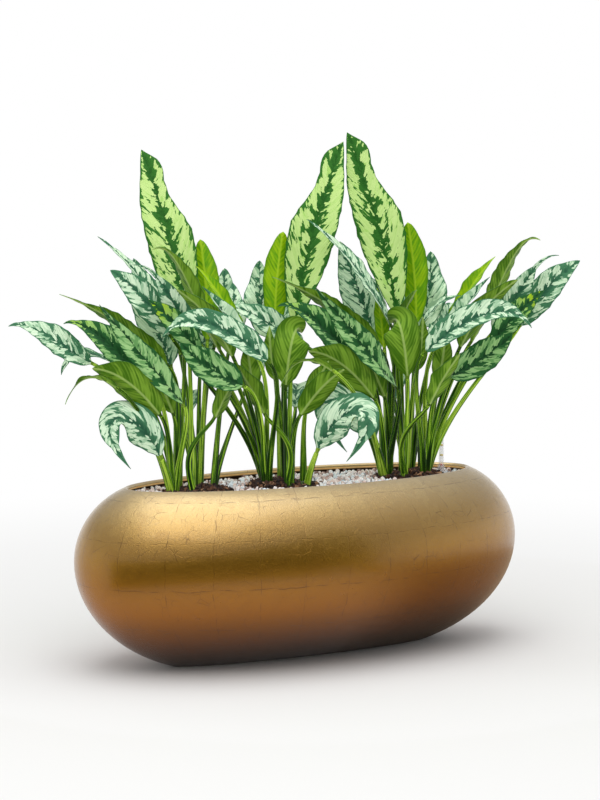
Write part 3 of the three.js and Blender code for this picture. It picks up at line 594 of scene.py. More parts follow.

# %% [markdown]
# ## Leaf finishes
#
# The upper face of a mature blade is smooth and satin. Its ground is silver green, or lime green on the
# tallest blades. Leaves that lie in the shade get a duskier copy of the silver finish, which is painted
# shade. Dark green gathers in feathery blotches along the midrib and in flecks near the edge, and all of
# it is drawn out along the side veins, which leave the midrib at about 45 degrees. The underside is a
# plain middle green, and young leaves are a clear yellow green.
#
# Painted pictures would need one for each leaf. Here every point of a leaf knows how far across and
# along the blade it lies, in shares and in millimetres, so noise can be sampled along and across the
# veins, and no two leaves get the same marks. Living leaves have an IOR near 1.45, and their waxy skin
# scatters: the highlight is kept weak, so that the greens stay clear under the white sky.

# %% Leaf pattern helpers
SIDE_VEIN_SPACING = 8.5


def leaf_numbers(tree):
    """What each point of a leaf knows: across, along, darkness, then mm across, mm up the vein, seed,
    and last the colour of its tip."""
    found = []
    for name in ("leaf_place", "leaf_size", "leaf_tip"):
        stored = add_node(tree, "Attribute", attribute_name=name)
        split = add_node(tree, "SeparateXYZ", stored.outputs["Vector"])
        found += [split.outputs["X"], split.outputs["Y"], split.outputs["Z"]]
    return found[:7]


def two_sides(tree, across):
    """How far out from the midrib a point lies, and a number that sets one side off from the other."""
    off = add_node(tree, "Math", across, operation="ABSOLUTE")
    sign = add_node(tree, "Math", across, operation="SIGN")
    return off, add_node(tree, "Math", sign, 5.0, operation="MULTIPLY")


def side_ribs(tree, vein):
    """A wave that rises and falls once from each side vein to the next."""
    turn = add_node(tree, "Math", vein, 2 * math.pi / SIDE_VEIN_SPACING, operation="MULTIPLY")
    return add_node(tree, "Math", turn, operation="SINE")


def vein_noise(tree, vein, off_mm, side, seed, along_size, across_size, detail=2.0):
    """Noise drawn out along the side veins, mostly between -1 and 1, and different on the two sides."""
    out = add_node(tree, "Math", off_mm, across_size, operation="DIVIDE")
    shifted = add_node(tree, "Math", out, side, operation="ADD")
    up = add_node(tree, "Math", vein, along_size, operation="DIVIDE")
    spot = add_node(tree, "CombineXYZ", up, shifted, seed)
    noise = add_node(tree, "TexNoise", {"Vector": spot, "Scale": 1.0, "Detail": detail, "Distortion": 0.7})
    return add_node(tree, "MapRange", noise, 0.25, 0.75, -1.0, 1.0, clamp=False)


print("side veins are", SIDE_VEIN_SPACING, "mm apart")

# %% Variegated blade
# How the dark lies on a blade, from its midrib at 0 to its edge at 1.
FEATHERED = [(0.0, 1.0), (0.04, 0.82), (0.1, 0.68), (0.22, 0.57), (0.34, 0.45), (0.46, 0.31), (0.62, 0.2),
             (0.74, 0.27), (0.85, 0.45), (0.94, 0.62), (1.0, 0.9)]
MOTTLED = [(0.0, 0.85), (0.05, 0.66), (0.15, 0.54), (0.32, 0.44), (0.5, 0.34), (0.66, 0.32), (0.82, 0.43),
           (0.93, 0.58), (1.0, 0.88)]
LOBE_WIDTH = 13.0
STREAK_SIZE = (4.0, 6.0)
BAND_SIZE = (7.0, 50.0)
PATCH_SIZE = (9.0, 12.0)
PATCH_SEED = 31.0
TIP_YELLOW = "#9cc016"


def variegated(name, pale, middle, dark, deep, gather, sweep, lobe_size, speckle, smudged):
    """The upper face of a mature blade: a pale ground with dark marks.
    Gather is how the dark lies from the midrib to the edge. Sweep is how much flatter than the side
    veins the marks lie, lobe_size is their length in mm, speckle is the share of small ones, and
    smudged is how much of the pale ground the middle tone covers."""
    material, tree, shader = start_material(name, roughness=0.5, specular_ior_level=0.12)
    across, along, darkness, off_mm, vein, seed, tip = leaf_numbers(tree)
    off, side = two_sides(tree, across)
    out = add_node(tree, "Math", off_mm, operation="ABSOLUTE")
    swept = add_node(tree, "Math", vein, add_node(tree, "Math", out, sweep, operation="MULTIPLY"),
                     operation="SUBTRACT")
    lobes = vein_noise(tree, swept, off_mm, side, seed, lobe_size, LOBE_WIDTH, 0.5)
    streaks = vein_noise(tree, swept, off_mm, side, seed, *STREAK_SIZE, 1.0)
    bands = vein_noise(tree, vein, off_mm, side, seed, *BAND_SIZE)
    other_seed = add_node(tree, "Math", seed, PATCH_SEED, operation="ADD")
    patches = vein_noise(tree, swept, off_mm, side, other_seed, *PATCH_SIZE)

    # How much dark is here: the gathering, the leaf's own share, the lobes, the flecks and the tip.
    weight = add_node(tree, "ValToRGB", off, stops=gather)
    total = add_node(tree, "Math", weight, darkness, operation="ADD")
    total = add_node(tree, "Math", lobes, 0.4, total, operation="MULTIPLY_ADD")
    total = add_node(tree, "Math", streaks, speckle, total, operation="MULTIPLY_ADD")
    top = add_node(tree, "MapRange", along, 0.82, 0.98, 0.0, 0.4, interpolation_type="SMOOTHSTEP")
    total = add_node(tree, "Math", total, top, operation="ADD")

    # The pale ground, with faint bands along the veins, smudges and perhaps a yellow tip.
    soft = add_node(tree, "MapRange", bands, -0.6, 0.9, 0.0, 0.5, interpolation_type="SMOOTHSTEP")
    ground = add_node(tree, "Mix", soft, pale, middle, data_type="RGBA")
    smudge = add_node(tree, "Math", total, 0.8, patches, operation="MULTIPLY_ADD")
    smudge = add_node(tree, "MapRange", smudge, 0.62 - smudged, 0.8 - smudged, 0.0, 0.85,
                      interpolation_type="SMOOTHSTEP")
    ground = add_node(tree, "Mix", smudge, ground, middle, data_type="RGBA")
    near_tip = add_node(tree, "MapRange", along, 0.45, 0.85, interpolation_type="SMOOTHSTEP")
    tipped = add_node(tree, "Math", tip, near_tip, operation="MULTIPLY")
    ground = add_node(tree, "Mix", tipped, ground, TIP_YELLOW, data_type="RGBA")

    # The dark marks, deeper by the midrib, and a thin dark rim.
    outer = add_node(tree, "MapRange", off, 0.05, 0.5, interpolation_type="SMOOTHSTEP")
    feather = add_node(tree, "Mix", outer, deep, dark, data_type="RGBA")
    mottle = add_node(tree, "MapRange", patches, -0.4, 0.5, 0.0, 0.7, interpolation_type="SMOOTHSTEP")
    feather = add_node(tree, "Mix", mottle, feather, dark, data_type="RGBA")
    marked = add_node(tree, "MapRange", total, 0.485, 0.52, interpolation_type="SMOOTHSTEP")
    coloured = add_node(tree, "Mix", marked, ground, feather, data_type="RGBA")
    rim = add_node(tree, "MapRange", off, 0.94, 0.98, 0.0, 0.8, interpolation_type="SMOOTHSTEP")
    plug(tree, shader.inputs["Base Color"], add_node(tree, "Mix", rim, coloured, dark, data_type="RGBA"))
    relief = add_node(tree, "Math", side_ribs(tree, vein), 0.4, streaks, operation="MULTIPLY_ADD")
    plug(tree, shader.inputs["Normal"],
         add_node(tree, "Bump", {"Height": relief, "Strength": 0.4, "Distance": 0.0004}))
    return material


print("dark marks are about", LOBE_WIDTH, "mm wide")

# %% Plain blade
CLOUD_SIZE = (17.0, 24.0)
FLECK_SIZE = (4.0, 15.0)


def plain_green(name, base, light, rib_colour, rim_colour, fleck=0.0):
    """A leaf face of one green, with a lighter midrib, faint ribs, a rim and perhaps a few flecks."""
    material, tree, shader = start_material(name, roughness=0.45, specular_ior_level=0.12)
    across, _, _, off_mm, vein, seed, _ = leaf_numbers(tree)
    off, side = two_sides(tree, across)
    clouds = vein_noise(tree, vein, off_mm, side, seed, *CLOUD_SIZE)
    streaks = vein_noise(tree, vein, off_mm, side, seed, *FLECK_SIZE)
    rib = side_ribs(tree, vein)
    shade = add_node(tree, "Math", rib, 0.22, clouds, operation="MULTIPLY_ADD")
    shade = add_node(tree, "MapRange", shade, -0.6, 0.6, interpolation_type="SMOOTHSTEP")
    ground = add_node(tree, "Mix", shade, base, light, data_type="RGBA")
    flecks = add_node(tree, "MapRange", streaks, 0.25, 0.6, 0.0, fleck, interpolation_type="SMOOTHSTEP")
    ground = add_node(tree, "Mix", flecks, ground, rim_colour, data_type="RGBA")
    rim = add_node(tree, "MapRange", off, 0.72, 1.0, 0.0, 0.7, interpolation_type="SMOOTHSTEP")
    ground = add_node(tree, "Mix", rim, ground, rim_colour, data_type="RGBA")
    out = add_node(tree, "Math", off_mm, operation="ABSOLUTE")
    midrib = add_node(tree, "MapRange", out, 0.8, 2.8, 0.8, 0.0, interpolation_type="SMOOTHSTEP")
    plug(tree, shader.inputs["Base Color"],
         add_node(tree, "Mix", midrib, ground, rib_colour, data_type="RGBA"))
    relief = add_node(tree, "Math", rib, streaks, operation="ADD")
    plug(tree, shader.inputs["Normal"],
         add_node(tree, "Bump", {"Height": relief, "Strength": 0.3, "Distance": 0.0004}))
    return material


print("clouds on plain leaves are", CLOUD_SIZE, "mm")

# %% Blade finishes
LOOKS = {
    "lime": variegated("blade_top_lime", "#bedb88", "#9fcb66", "#2f6c20", "#1c5412",
                       FEATHERED, -0.6, 13.0, 0.2, 0.0),
    "silver": variegated("blade_top_silver", "#d8efcf", "#97c09a", "#437a56", "#27583f",
                         MOTTLED, -0.35, 12.0, 0.2, 0.26),
    # A duskier copy of the silver finish for leaves that lie in the shade: painted shade.
    "silver_in_painted_shade": variegated("blade_top_silver_in_painted_shade", "#a2ce88", "#649c58", "#28602f", "#14401f",
                        MOTTLED, -0.35, 13.0, 0.22, 0.28),
    "young": plain_green("blade_young_yellow_green", "#5f9a00", "#8fb804", "#a4c824", "#4a8008", 0.4),
    "plain": plain_green("blade_top_plain_green", "#2f6e0e", "#4f8c20", "#7aac4c", "#245410"),
    "under": plain_green("blade_underside_middle_green", "#426e08", "#78a02e", "#a2be68", "#386206"),
}
print("blade finishes:", ", ".join(LOOKS))

# %% [markdown]
# ## Stalk finish
#
# A stalk is bright green and juicy, with a shallow groove on its upper side and fine ridges along it.
# Its foot is a paler sheath that clasps the cane. The cane itself is woody, ringed and dull. A plain green
# would make a clump look like wire, so each stalk is made lighter or darker as a whole, and its noise is
# stretched along it: about 7 ridges round the stalk, each 90 mm long. The ridges run from near black to
# bright lime. That is partly the green's own tone and partly painted light on the lit ridges and painted
# shade between them. The lighter and darker stalks are partly painted light and shade too.

# %% Stalk material
RIDGES_ROUND = 7.0
RIDGE_LENGTH = 90.0

stalk_green, tree, shader = start_material("leaf_stalk_fresh_green", roughness=0.45,
                                           specular_ior_level=0.12)
turn, along, _, _, up_stalk, seed, _ = leaf_numbers(tree)
round_stalk = add_node(tree, "Math", turn, RIDGES_ROUND, operation="MULTIPLY")
up = add_node(tree, "Math", up_stalk, RIDGE_LENGTH, operation="DIVIDE")
spot = add_node(tree, "CombineXYZ", round_stalk, up, seed)
ridges = add_node(tree, "TexNoise", {"Vector": spot, "Scale": 1.0, "Detail": 3.0})
# Each stalk's own lighter or darker shift, and the ridge ramp below: partly the green's tone, partly
# painted light and painted shade.
own = add_node(tree, "TexWhiteNoise", {"W": seed}, noise_dimensions="1D")
own_shade = add_node(tree, "MapRange", own, 0.0, 1.0, -0.12, 0.1)
bright = add_node(tree, "Math", ridges, own_shade, operation="ADD")
colour = add_node(tree, "ValToRGB", bright, stops=[
    (0.36, "#0a2600"), (0.45, "#2c5c04"), (0.54, "#76a81a"), (0.63, "#bce050")])
sheath = add_node(tree, "MapRange", along, 0.0, 0.12, 0.5, 0.0, interpolation_type="SMOOTHSTEP")
plug(tree, shader.inputs["Base Color"],
     add_node(tree, "Mix", sheath, colour, "#3f5a14", data_type="RGBA"))
plug(tree, shader.inputs["Normal"],
     add_node(tree, "Bump", {"Height": ridges, "Strength": 0.5, "Distance": 0.0006}))
print("stalks have ridges", RIDGE_LENGTH, "mm long")

# %% Cane material
SCAR_SIZE = 5.55

cane_brown, tree, shader = start_material("cane_ringed_brown_green", roughness=0.8)
space = add_node(tree, "TexCoord").outputs["Object"]
scars = add_node(tree, "TexNoise", {"Vector": space, "Scale": pattern_scale(SCAR_SIZE * MM),
                                    "Detail": 5.0})
plug(tree, shader.inputs["Base Color"], add_node(tree, "ValToRGB", scars, stops=[
    (0.35, "#1a1e0a"), (0.55, "#2f4212"), (0.72, "#557a26")]))
plug(tree, shader.inputs["Normal"],
     add_node(tree, "Bump", {"Height": scars, "Strength": 0.6, "Distance": 0.001}))
print("scars on the canes are", SCAR_SIZE, "mm")

# %% [markdown]
# ## Leaf shape
#
# A leaf is one skin over rings of points that run up the stalk and on along the blade. On the blade half
# of each ring is the upper face and half the lower face. A flat sheet bent along a curve would be
# quicker, but it has no thickness and no stalk. The outline, fold, waves and twist follow the same
# formulas as the model, and the finer rings add the midrib's groove and keel, the swell between the side
# veins and a thin edge.

# %% Lines in space
# A plant that leans, or a leaf that is set back, is shifted along the line of sight of the picture, so
# its outline from the front stays as it is. The camera stands 4057 mm away and 548 mm above the soil.
VIEW_DISTANCE = 4057
VIEW_LEVEL = 548


def placed(plant, point, back=0.0):
    """A point of a plant in the planter's frame. A plant that leans keeps its outline from the front."""
    right, away, up = point
    away += back
    up -= back * (VIEW_LEVEL - up) / VIEW_DISTANCE
    lean = plant["lean"] * up
    away += lean
    up -= lean * (VIEW_LEVEL - up) / VIEW_DISTANCE
    spot = np.array([plant["x"], 0, SOIL_LEVEL + up * plant["size"]])
    return spot + plant["size"] * (right * plant["mirror"] * RIGHT + away * AWAY)


def curve(points, shares):
    """Points on a Bezier curve at several shares of its length."""
    rows = [np.asarray(point, float)[None, :] for point in points]
    shares = np.asarray(shares)[:, None]
    while len(rows) > 1:
        rows = [one + (other - one) * shares for one, other in zip(rows, rows[1:])]
    return np.broadcast_to(rows[0], (len(shares), 3))


def units(vectors):
    """Vectors made one long."""
    return vectors / np.linalg.norm(vectors, axis=1, keepdims=True)


def frames(points, shares, face, roll):
    """Where a line stands at several shares, with its upper side and its right side."""
    step = 0.001
    ahead = units(curve(points, np.minimum(shares + step, 1)) - curve(points, np.maximum(shares - step, 0)))
    upper = units(face - ahead * (ahead @ face)[:, None])
    side = np.cross(ahead, upper)
    turn = np.asarray(roll)[:, None]
    return (curve(points, shares), upper * np.cos(turn) + side * np.sin(turn),
            side * np.cos(turn) - upper * np.sin(turn))


def lengths(points):
    """How far along a line each of its points lies."""
    return np.concatenate([[0], np.cumsum(np.linalg.norm(np.diff(points, axis=0), axis=1))])


tall_line = curve(LEAVES["tall"]["line"], np.linspace(0, 1, 50))
print("the tallest blade is", round(lengths(tall_line)[-1]), "mm long")

# %% Rings of a stalk
# Each ring of a leaf has 26 points. On a stalk they lie at even angles.
STALK_FOOT_RADIUS = 4.4
STALK_TOP_RADIUS = 3.0
STALK_GROOVE = 0.3
HALF_RING = 13
RING_ANGLES = math.pi * (1 - (np.arange(2 * HALF_RING) + 0.5) / HALF_RING)


def stalk_rings(line, upper, side, radius):
    """Rings round the stalk, with a shallow groove on the upper side."""
    groove = 1 - STALK_GROOVE * np.exp(-((RING_ANGLES - math.pi / 2) / 0.5) ** 2)
    across = np.cos(RING_ANGLES) * groove
    high = np.sin(RING_ANGLES) * groove
    return (line[:, None] + side[:, None] * (radius[:, None] * across)[..., None]
            + upper[:, None] * (radius[:, None] * high)[..., None])


print("a ring of a leaf has", len(RING_ANGLES), "points")

# %% Rings of a blade
# On a blade the points lie closer together at the midrib and the edges. Side veins leave the midrib at
# a slant and bend towards the tip. The two sides of a blade wave and ripple out of step.
BLADE_THICKNESS = 0.9
ACROSS = np.array([-1, -0.86, -0.66, -0.44, -0.24, -0.09, 0, 0.09, 0.24, 0.44, 0.66, 0.86, 1])
VEIN_SLANT = 1.2
VEIN_BEND = 0.016
VEIN_SWELL = 0.35
MIDRIB_GROOVE = 0.28
NECK_WIDTH = 0.87
RIPPLE = 1.3
RIPPLE_LENGTH = 31
RIPPLE_VARIES = 9
LEFT_PHASE = 0.0
RIGHT_PHASE = 1.9


def vein_place(place, wide):
    """Where the side vein through a point leaves the midrib."""
    out = np.abs(wide)
    return place[:, None] - VEIN_SLANT * out - VEIN_BEND * out ** 2


def blade_reach(row, plant, shares, half):
    """How far the blade reaches out from its midrib at several shares of its length."""
    filled = np.minimum(shares / (1 - row["tail"]), 1)
    outline = np.maximum(np.sin(math.pi * filled ** row["peak"]), 0) ** row["full"]
    neck = (1 - shares) * STALK_TOP_RADIUS * plant["size"] * NECK_WIDTH
    point = half * 0.15 * np.minimum((1 - shares) / max(row["tail"], 0.08), 1) + 0.4
    return np.maximum(np.maximum(half * outline, neck), point)


def blade_sway(row, plant, shares, phase):
    """How much wider or narrower than its outline each side of the blade is."""
    if not row["margins"]:
        return 1 + row["wobble"] * np.sin(3.2 * math.pi * shares[:, None] + phase + 1)
    steps, left, right = np.array(row["margins"]).T
    left, right = (left, right) if plant["mirror"] > 0 else (right, left)
    return np.where(ACROSS < 0, np.interp(shares, steps, left)[:, None],
                    np.interp(shares, steps, right)[:, None])


def blade_rings(row, plant, line, upper, side, shares, place):
    """Rings round the blade: the upper face from left to right, then the lower face back again."""
    half = row["width"] * plant["size"] / 2
    reach = blade_reach(row, plant, shares, half)
    filled = (reach / half)[:, None]
    fold = math.radians(row["fold"])
    out = np.abs(ACROSS)
    phase = np.where(ACROSS * plant["mirror"] < 0, LEFT_PHASE, RIGHT_PHASE)
    wave = row["wave"] * plant["size"] * filled
    lift = wave * np.sin(4 * math.pi * shares[:, None] + phase) * out ** 1.6
    length = RIPPLE_LENGTH + RIPPLE_VARIES * math.sin(7 * row["width"])
    waves = 2 * math.pi * place[:, None] / length + 2 * phase
    edge = np.clip(filled, 0, 1) * out ** 3
    uneven = 1 + edge * (0.02 * np.sin(0.77 * waves + 1.3) + 0.012 * np.sin(1.9 * waves))
    sway = blade_sway(row, plant, shares, phase) * uneven
    lift = lift + RIPPLE * plant["size"] * edge * np.sin(waves)
    wide = ACROSS * reach[:, None] * sway * math.cos(fold)
    turns = vein_place(place, wide) / (2 * SIDE_VEIN_SPACING)
    swell = VEIN_SWELL * np.sin(2 * math.pi * turns) * 4 * out * (1 - out) * filled
    high = reach[:, None] * math.sin(fold) * out ** 1.12 + lift + swell
    keel = (STALK_TOP_RADIUS * plant["size"] * (1 - shares) ** 1.5)[:, None]
    off_mm = np.abs(wide)
    groove = MIDRIB_GROOVE * keel * np.exp(-(off_mm / 1.5) ** 2)
    bulge = np.sqrt(np.maximum(keel ** 2 - off_mm ** 2, 0))
    thick = BLADE_THICKNESS / 2 * (1 - 0.6 * out ** 4)
    top = high + thick - groove
    low = high - thick - bulge
    wide = np.concatenate([wide, wide[:, ::-1]], 1)
    high = np.concatenate([top, low[:, ::-1]], 1)
    rings = line[:, None] + side[:, None] * wide[..., None] + upper[:, None] * high[..., None]
    return rings, wide


print("the edge of a blade ripples by", RIPPLE, "mm")

# %% A whole leaf
# The stalk starts in the sheath on its cane, a little under the soil, rises near the cane and then bends
# out to the blade. Over the first part of the blade the round stalk spreads into the flat blade.
STALK_OFFSET = 4.5
STALK_DEPTH = 6
SHEATH_SWELL = 0.5
SHEATH_LENGTH = 85.0
STALK_STEPS = 18
BLADE_STEPS = 44
NECK_SHARE = 0.07


def stalk_line(row, plant, back, blade):
    """The points that lead the stalk from its cane to the blade."""
    cane = CANES[row["cane"]]
    base = row["line"][0]
    away = math.hypot(base[0] - cane[0], base[1] - cane[1])
    way = ((base[0] - cane[0]) / max(away, 1e-6), (base[1] - cane[1]) / max(away, 1e-6))

    def outward(spread, up):
        return placed(plant, (cane[0] + spread * way[0], cane[1] + spread * way[1], up))

    foot = outward(STALK_OFFSET, -STALK_DEPTH)
    if row["via"]:
        rise = [outward(STALK_OFFSET, 30), placed(plant, row["via"], back / 2)]
    else:
        rise = [outward(STALK_OFFSET + 0.15 * away, 0.45 * base[2] - STALK_DEPTH)]
    reach = np.linalg.norm(blade[0] - foot)
    ahead = (blade[1] - blade[0]) / np.linalg.norm(blade[1] - blade[0])
    return [foot, *rise, blade[0] - ahead * reach * row["inward"], blade[0]]


def leaf_rings(row, plant, back):
    """All rings of a leaf, with what its finish needs to know at each point."""
    blade = [placed(plant, point, back) for point in row["line"]]
    face = plant["mirror"] * row["face"][0] * RIGHT + row["face"][1] * AWAY + row["face"][2] * UP
    face = face / np.linalg.norm(face)

    shares = np.linspace(0, 1, STALK_STEPS, endpoint=False)
    line, upper, side = frames(stalk_line(row, plant, back, blade), shares, face, np.zeros(len(shares)))
    radius = (STALK_FOOT_RADIUS + (STALK_TOP_RADIUS - STALK_FOOT_RADIUS) * shares) * plant["size"]
    radius *= 1 + SHEATH_SWELL * np.exp(-(lengths(line) / SHEATH_LENGTH) ** 2)
    low_rings = stalk_rings(line, upper, side, radius)
    low_place = lengths(line)

    along = np.linspace(0, 1, BLADE_STEPS + 1)
    roll = math.radians(row["twist"]) * plant["mirror"] * (along - 0.3)
    line, upper, side = frames(blade, along, face, roll)
    place = lengths(line)
    rings, wide = blade_rings(row, plant, line, upper, side, along, place)
    neck = stalk_rings(line, upper, side, np.full(len(along), STALK_TOP_RADIUS * plant["size"]))
    grown = np.clip(along / NECK_SHARE, 0, 1)
    grown = (grown * grown * (3 - 2 * grown))[:, None, None]
    rings = neck * (1 - grown) + rings * grown
    return low_rings, low_place, shares, rings, place, along, wide


print("a leaf has", STALK_STEPS + BLADE_STEPS + 1, "rings")

# %% [markdown]
# ## Canes with their leaves
#
# Each cane and its leaves grew as one piece, so they are one object here, though each leaf could be an
# object of its own. The cane is a short green stub with the scars of old leaves, mostly hidden in the
# sheaths. Every point of a leaf stores its place on the leaf, and the finishes above read it.

# %% Cane stub
CANE_DEPTH = 36.0
CANE_ABOVE_SOIL = 8.0
CANE_RADIUS = 11.4
CANE_SIDES = 24
CANE_RINGS = 14
SCAR_SPACING = 9


def cane_stub(plant, cane):
    """The short cane: rings with a swelling at each old leaf scar."""
    centre = placed(plant, (CANES[cane][0], CANES[cane][1], 0))
    bottom = SOIL_LEVEL - CANE_DEPTH * plant["size"]
    top = SOIL_LEVEL + CANE_ABOVE_SOIL * plant["size"]
    rings = []
    for height in np.linspace(bottom, top, CANE_RINGS):
        swell = 1 - 0.05 * abs(math.sin((height - bottom) * math.pi / SCAR_SPACING))
        rounding = min(1, math.sqrt(max(top + 2 - height, 0.4) / 5))
        radius = CANE_RADIUS * plant["size"] * swell * rounding
        rings.append(oval_ring(radius, radius, height, CANE_SIDES) + [centre[0], centre[1], 0])
    return loft(np.array(rings), (centre[0], centre[1], bottom), (centre[0], centre[1], top))


print("a cane stub has", len(cane_stub(PLANTS[0], "a")[1]), "faces")

# %% What a leaf tells its finish
MATERIALS = [stalk_green, cane_brown, *LOOKS.values()]
SLOT_OF = {look: number + 2 for number, look in enumerate(LOOKS)}
RING_SIDES = 2 * HALF_RING
DARKNESS_SPREAD = 0.6
SEED_STEP = 7.3


def leaf_store(row, seed, low_place, shares, place, along, wide):
    """What each point of a leaf stores for its finish: its place, its sizes and its tip's colour."""
    low = len(low_place)
    ring_of = np.repeat(np.arange(low + len(place)), RING_SIDES)
    turn = np.tile(RING_ANGLES / math.pi, low + len(place))
    across = np.tile(np.concatenate([ACROSS, ACROSS[::-1]]), low + len(place))
    share = np.concatenate([shares, along])[ring_of]
    darkness = np.full(len(share), (row["dark"] - 0.5) * DARKNESS_SPREAD)
    spot = np.stack([np.where(ring_of >= low, across, turn), share, darkness], 1)
    wide_all = np.concatenate([np.zeros((low, RING_SIDES)), wide]).ravel()
    veins = np.concatenate([np.repeat(low_place, RING_SIDES), vein_place(place, wide).ravel()])
    size = np.stack([wide_all, veins, np.full(len(share), seed * SEED_STEP)], 1)
    tip = np.tile([row["tip"], 0.0, 0.0], (len(share), 1))
    return [np.vstack([values, values[:1], values[-1:]]) for values in (spot, size, tip)]


def face_finish(row, face, low):
    """Which finish a face of a leaf has: the stalk's, the blade's upper or its lower one."""
    ring, side = divmod(face[0], RING_SIDES)
    if ring <= low or len(face) < 4:
        return 0
    if side < HALF_RING or side == RING_SIDES - 1:
        return SLOT_OF[row["look"]]
    return SLOT_OF["young" if row["look"] == "young" else "under"]


print("finishes on a stem:", len(MATERIALS))

# %% Build the stems
# The stems don't show in the bowl's reflections, since the bowl in the photograph mirrors none of them.
def build_stem(plant, cane, seed):
    """One cane with all its leaves as one object."""
    points, faces = cane_stub(plant, cane)
    start = len(points)
    all_points = [points]
    all_faces = list(faces)
    which = [1] * len(faces)
    stores = [[np.tile([0.3, 0.1, 0.0], (start, 1)),
               np.stack([np.zeros(start), points[:, 2], np.zeros(start)], 1), np.zeros((start, 3))]]
    for name, back in plant["leaves"].items():
        row = LEAVES[name]
        if row["cane"] != cane:
            continue
        seed += 1
        low, low_place, shares, rings, place, along, wide = leaf_rings(row, plant, back)
        points, faces = loft(np.concatenate([low, rings]), low[0].mean(0), rings[-1].mean(0))
        stores.append(leaf_store(row, seed, low_place, shares, place, along, wide))
        all_faces += [tuple(corner + start for corner in face) for face in faces]
        which += [face_finish(row, face, len(low)) for face in faces]
        all_points.append(points)
        start += len(points)
    piece = add_piece(f"{plant['name']}_cane_{cane}_with_leaves", np.vstack(all_points), all_faces,
                      MATERIALS, which)
    for name, values in zip(("leaf_place", "leaf_size", "leaf_tip"), zip(*stores)):
        give(piece, name, np.vstack(values))
    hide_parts(f"{plant['name']}_stem_{cane}")
    piece.visible_glossy = False
    return seed


seed = 0
for plant in PLANTS:
    carried = {LEAVES[name]["cane"] for name in plant["leaves"]}
    for cane in [name for name in CANES if name in carried]:
        seed = build_stem(plant, cane, seed)
print("leaves built:", seed)

# %% [markdown]
# ## Root balls
#
# Each clump came from a pot of bark mix, which still stands round its foot: a low mound of dark bark
# chips with a little peat between them. Noise alone on a smooth mound would look like dough, since bark
# is read from its loose chips and their shadows. So the mound is built with the model's own outline, and
# chips of 5 to 14 mm are strewn over its top, each with its own tint and turn. Damp bark is dull, and its
# fine fibre breaks up each chip. The fibre is drawn 2.4 mm coarse, so that it shows.

# %% Bark material
FIBRE_SIZE = 2.4

bark, tree, shader = start_material("bark_chips_dark_brown", roughness=0.85)
tint = add_node(tree, "SeparateXYZ", add_node(tree, "Attribute", attribute_name="chip").outputs["Vector"])
space = add_node(tree, "TexCoord").outputs["Object"]
fibre = add_node(tree, "TexNoise", {"Vector": space, "Scale": pattern_scale(FIBRE_SIZE * MM),
                                    "Detail": 5.0, "Roughness": 0.7})
own_shade = add_node(tree, "Math", tint, 0.85, operation="MULTIPLY")
shade = add_node(tree, "Math", fibre, 0.4, own_shade, operation="MULTIPLY_ADD")
plug(tree, shader.inputs["Base Color"], add_node(tree, "ValToRGB", shade, stops=[
    (0.15, "#120a07"), (0.5, "#2f1c13"), (0.75, "#6e4830"), (1.0, "#cba078")]))
plug(tree, shader.inputs["Normal"],
     add_node(tree, "Bump", {"Height": fibre, "Strength": 0.7, "Distance": 0.002}))
print("bark fibre is", FIBRE_SIZE, "mm coarse")

# %% Outline and height of a root ball
ROOT_BALL_BOTTOM = 150.0
ROOT_BALL_TOP = 276.0
BALL_HALF_LENGTH = 63.0
BALL_HALF_WIDTH = 52.0
BALL_SHIFT = 6.0
BALL_OUTLINE = np.array([1.02, 0.95, 1.0, 1.05, 0.97, 1.0, 0.94, 1.03, 1.0, 0.96, 1.04, 0.98])


def ball_outline(angle):
    """How far the ball's uneven outline stands out at an angle."""
    count = len(BALL_OUTLINE)
    at = angle / (2 * math.pi) * count
    low = np.floor(at).astype(int) % count
    share = at - np.floor(at)
    return BALL_OUTLINE[low] * (1 - share) + BALL_OUTLINE[(low + 1) % count] * share


def ball_points(plant, reach, angle, height):
    """Points of the ball at shares of its outline."""
    out = ball_outline(angle) * reach
    right = BALL_SHIFT * plant["mirror"] + BALL_HALF_LENGTH * out * np.cos(angle)
    away = BALL_HALF_WIDTH * out * np.sin(angle)
    x = plant["x"] + plant["size"] * (right * RIGHT[0] + away * AWAY[0])
    y = plant["size"] * (right * RIGHT[1] + away * AWAY[1])
    return np.stack([x, y, np.broadcast_to(height, x.shape)], -1)


def from_clump(plant, x, y):
    """How far to the right of a clump's middle, and how far away from it, a spot on the soil lies."""
    dx = (x - plant["x"]) / plant["size"]
    dy = y / plant["size"]
    return dx * RIGHT[0] + dy * RIGHT[1], dx * AWAY[0] + dy * AWAY[1]


def mound(plant, x, y):
    """How high the bark is heaped over a spot, above the ball's flat top: 9 mm beside the stalks, to the
    right and in front of the middle, and 3 mm more round the middle."""
    right, away = from_clump(plant, x, y)
    right = right * plant["mirror"]
    heap = 9 * np.exp(-((right - 26) / 34) ** 2 - ((away + 14) / 30) ** 2)
    return heap + 3 * np.exp(-(right / 50) ** 2 - (away / 45) ** 2)


print("the bark is heaped", round(float(mound(PLANTS[0], PLANTS[0]["x"], 0)), 1), "mm high by the stalks")

# %% Bark chips
# A chip is a box with shaken corners, turned at random.
CHIP_SHAPE = np.array([(-1, -1, -1), (1, -0.8, -1), (0.8, 1, -1), (-1, 0.7, -1),
                       (-0.8, -0.7, 1), (1, -1, 0.7), (0.7, 0.8, 1), (-0.9, 0.8, 0.8)]) / 2
CHIP_FACES = [(0, 3, 2, 1), (4, 5, 6, 7), (0, 1, 5, 4), (1, 2, 6, 5), (2, 3, 7, 6), (3, 0, 4, 7)]
CHIP_LENGTHS = (5, 14)
CHIP_WIDTHS = (3, 7)
CHIP_THICKNESSES = (1.5, 4)


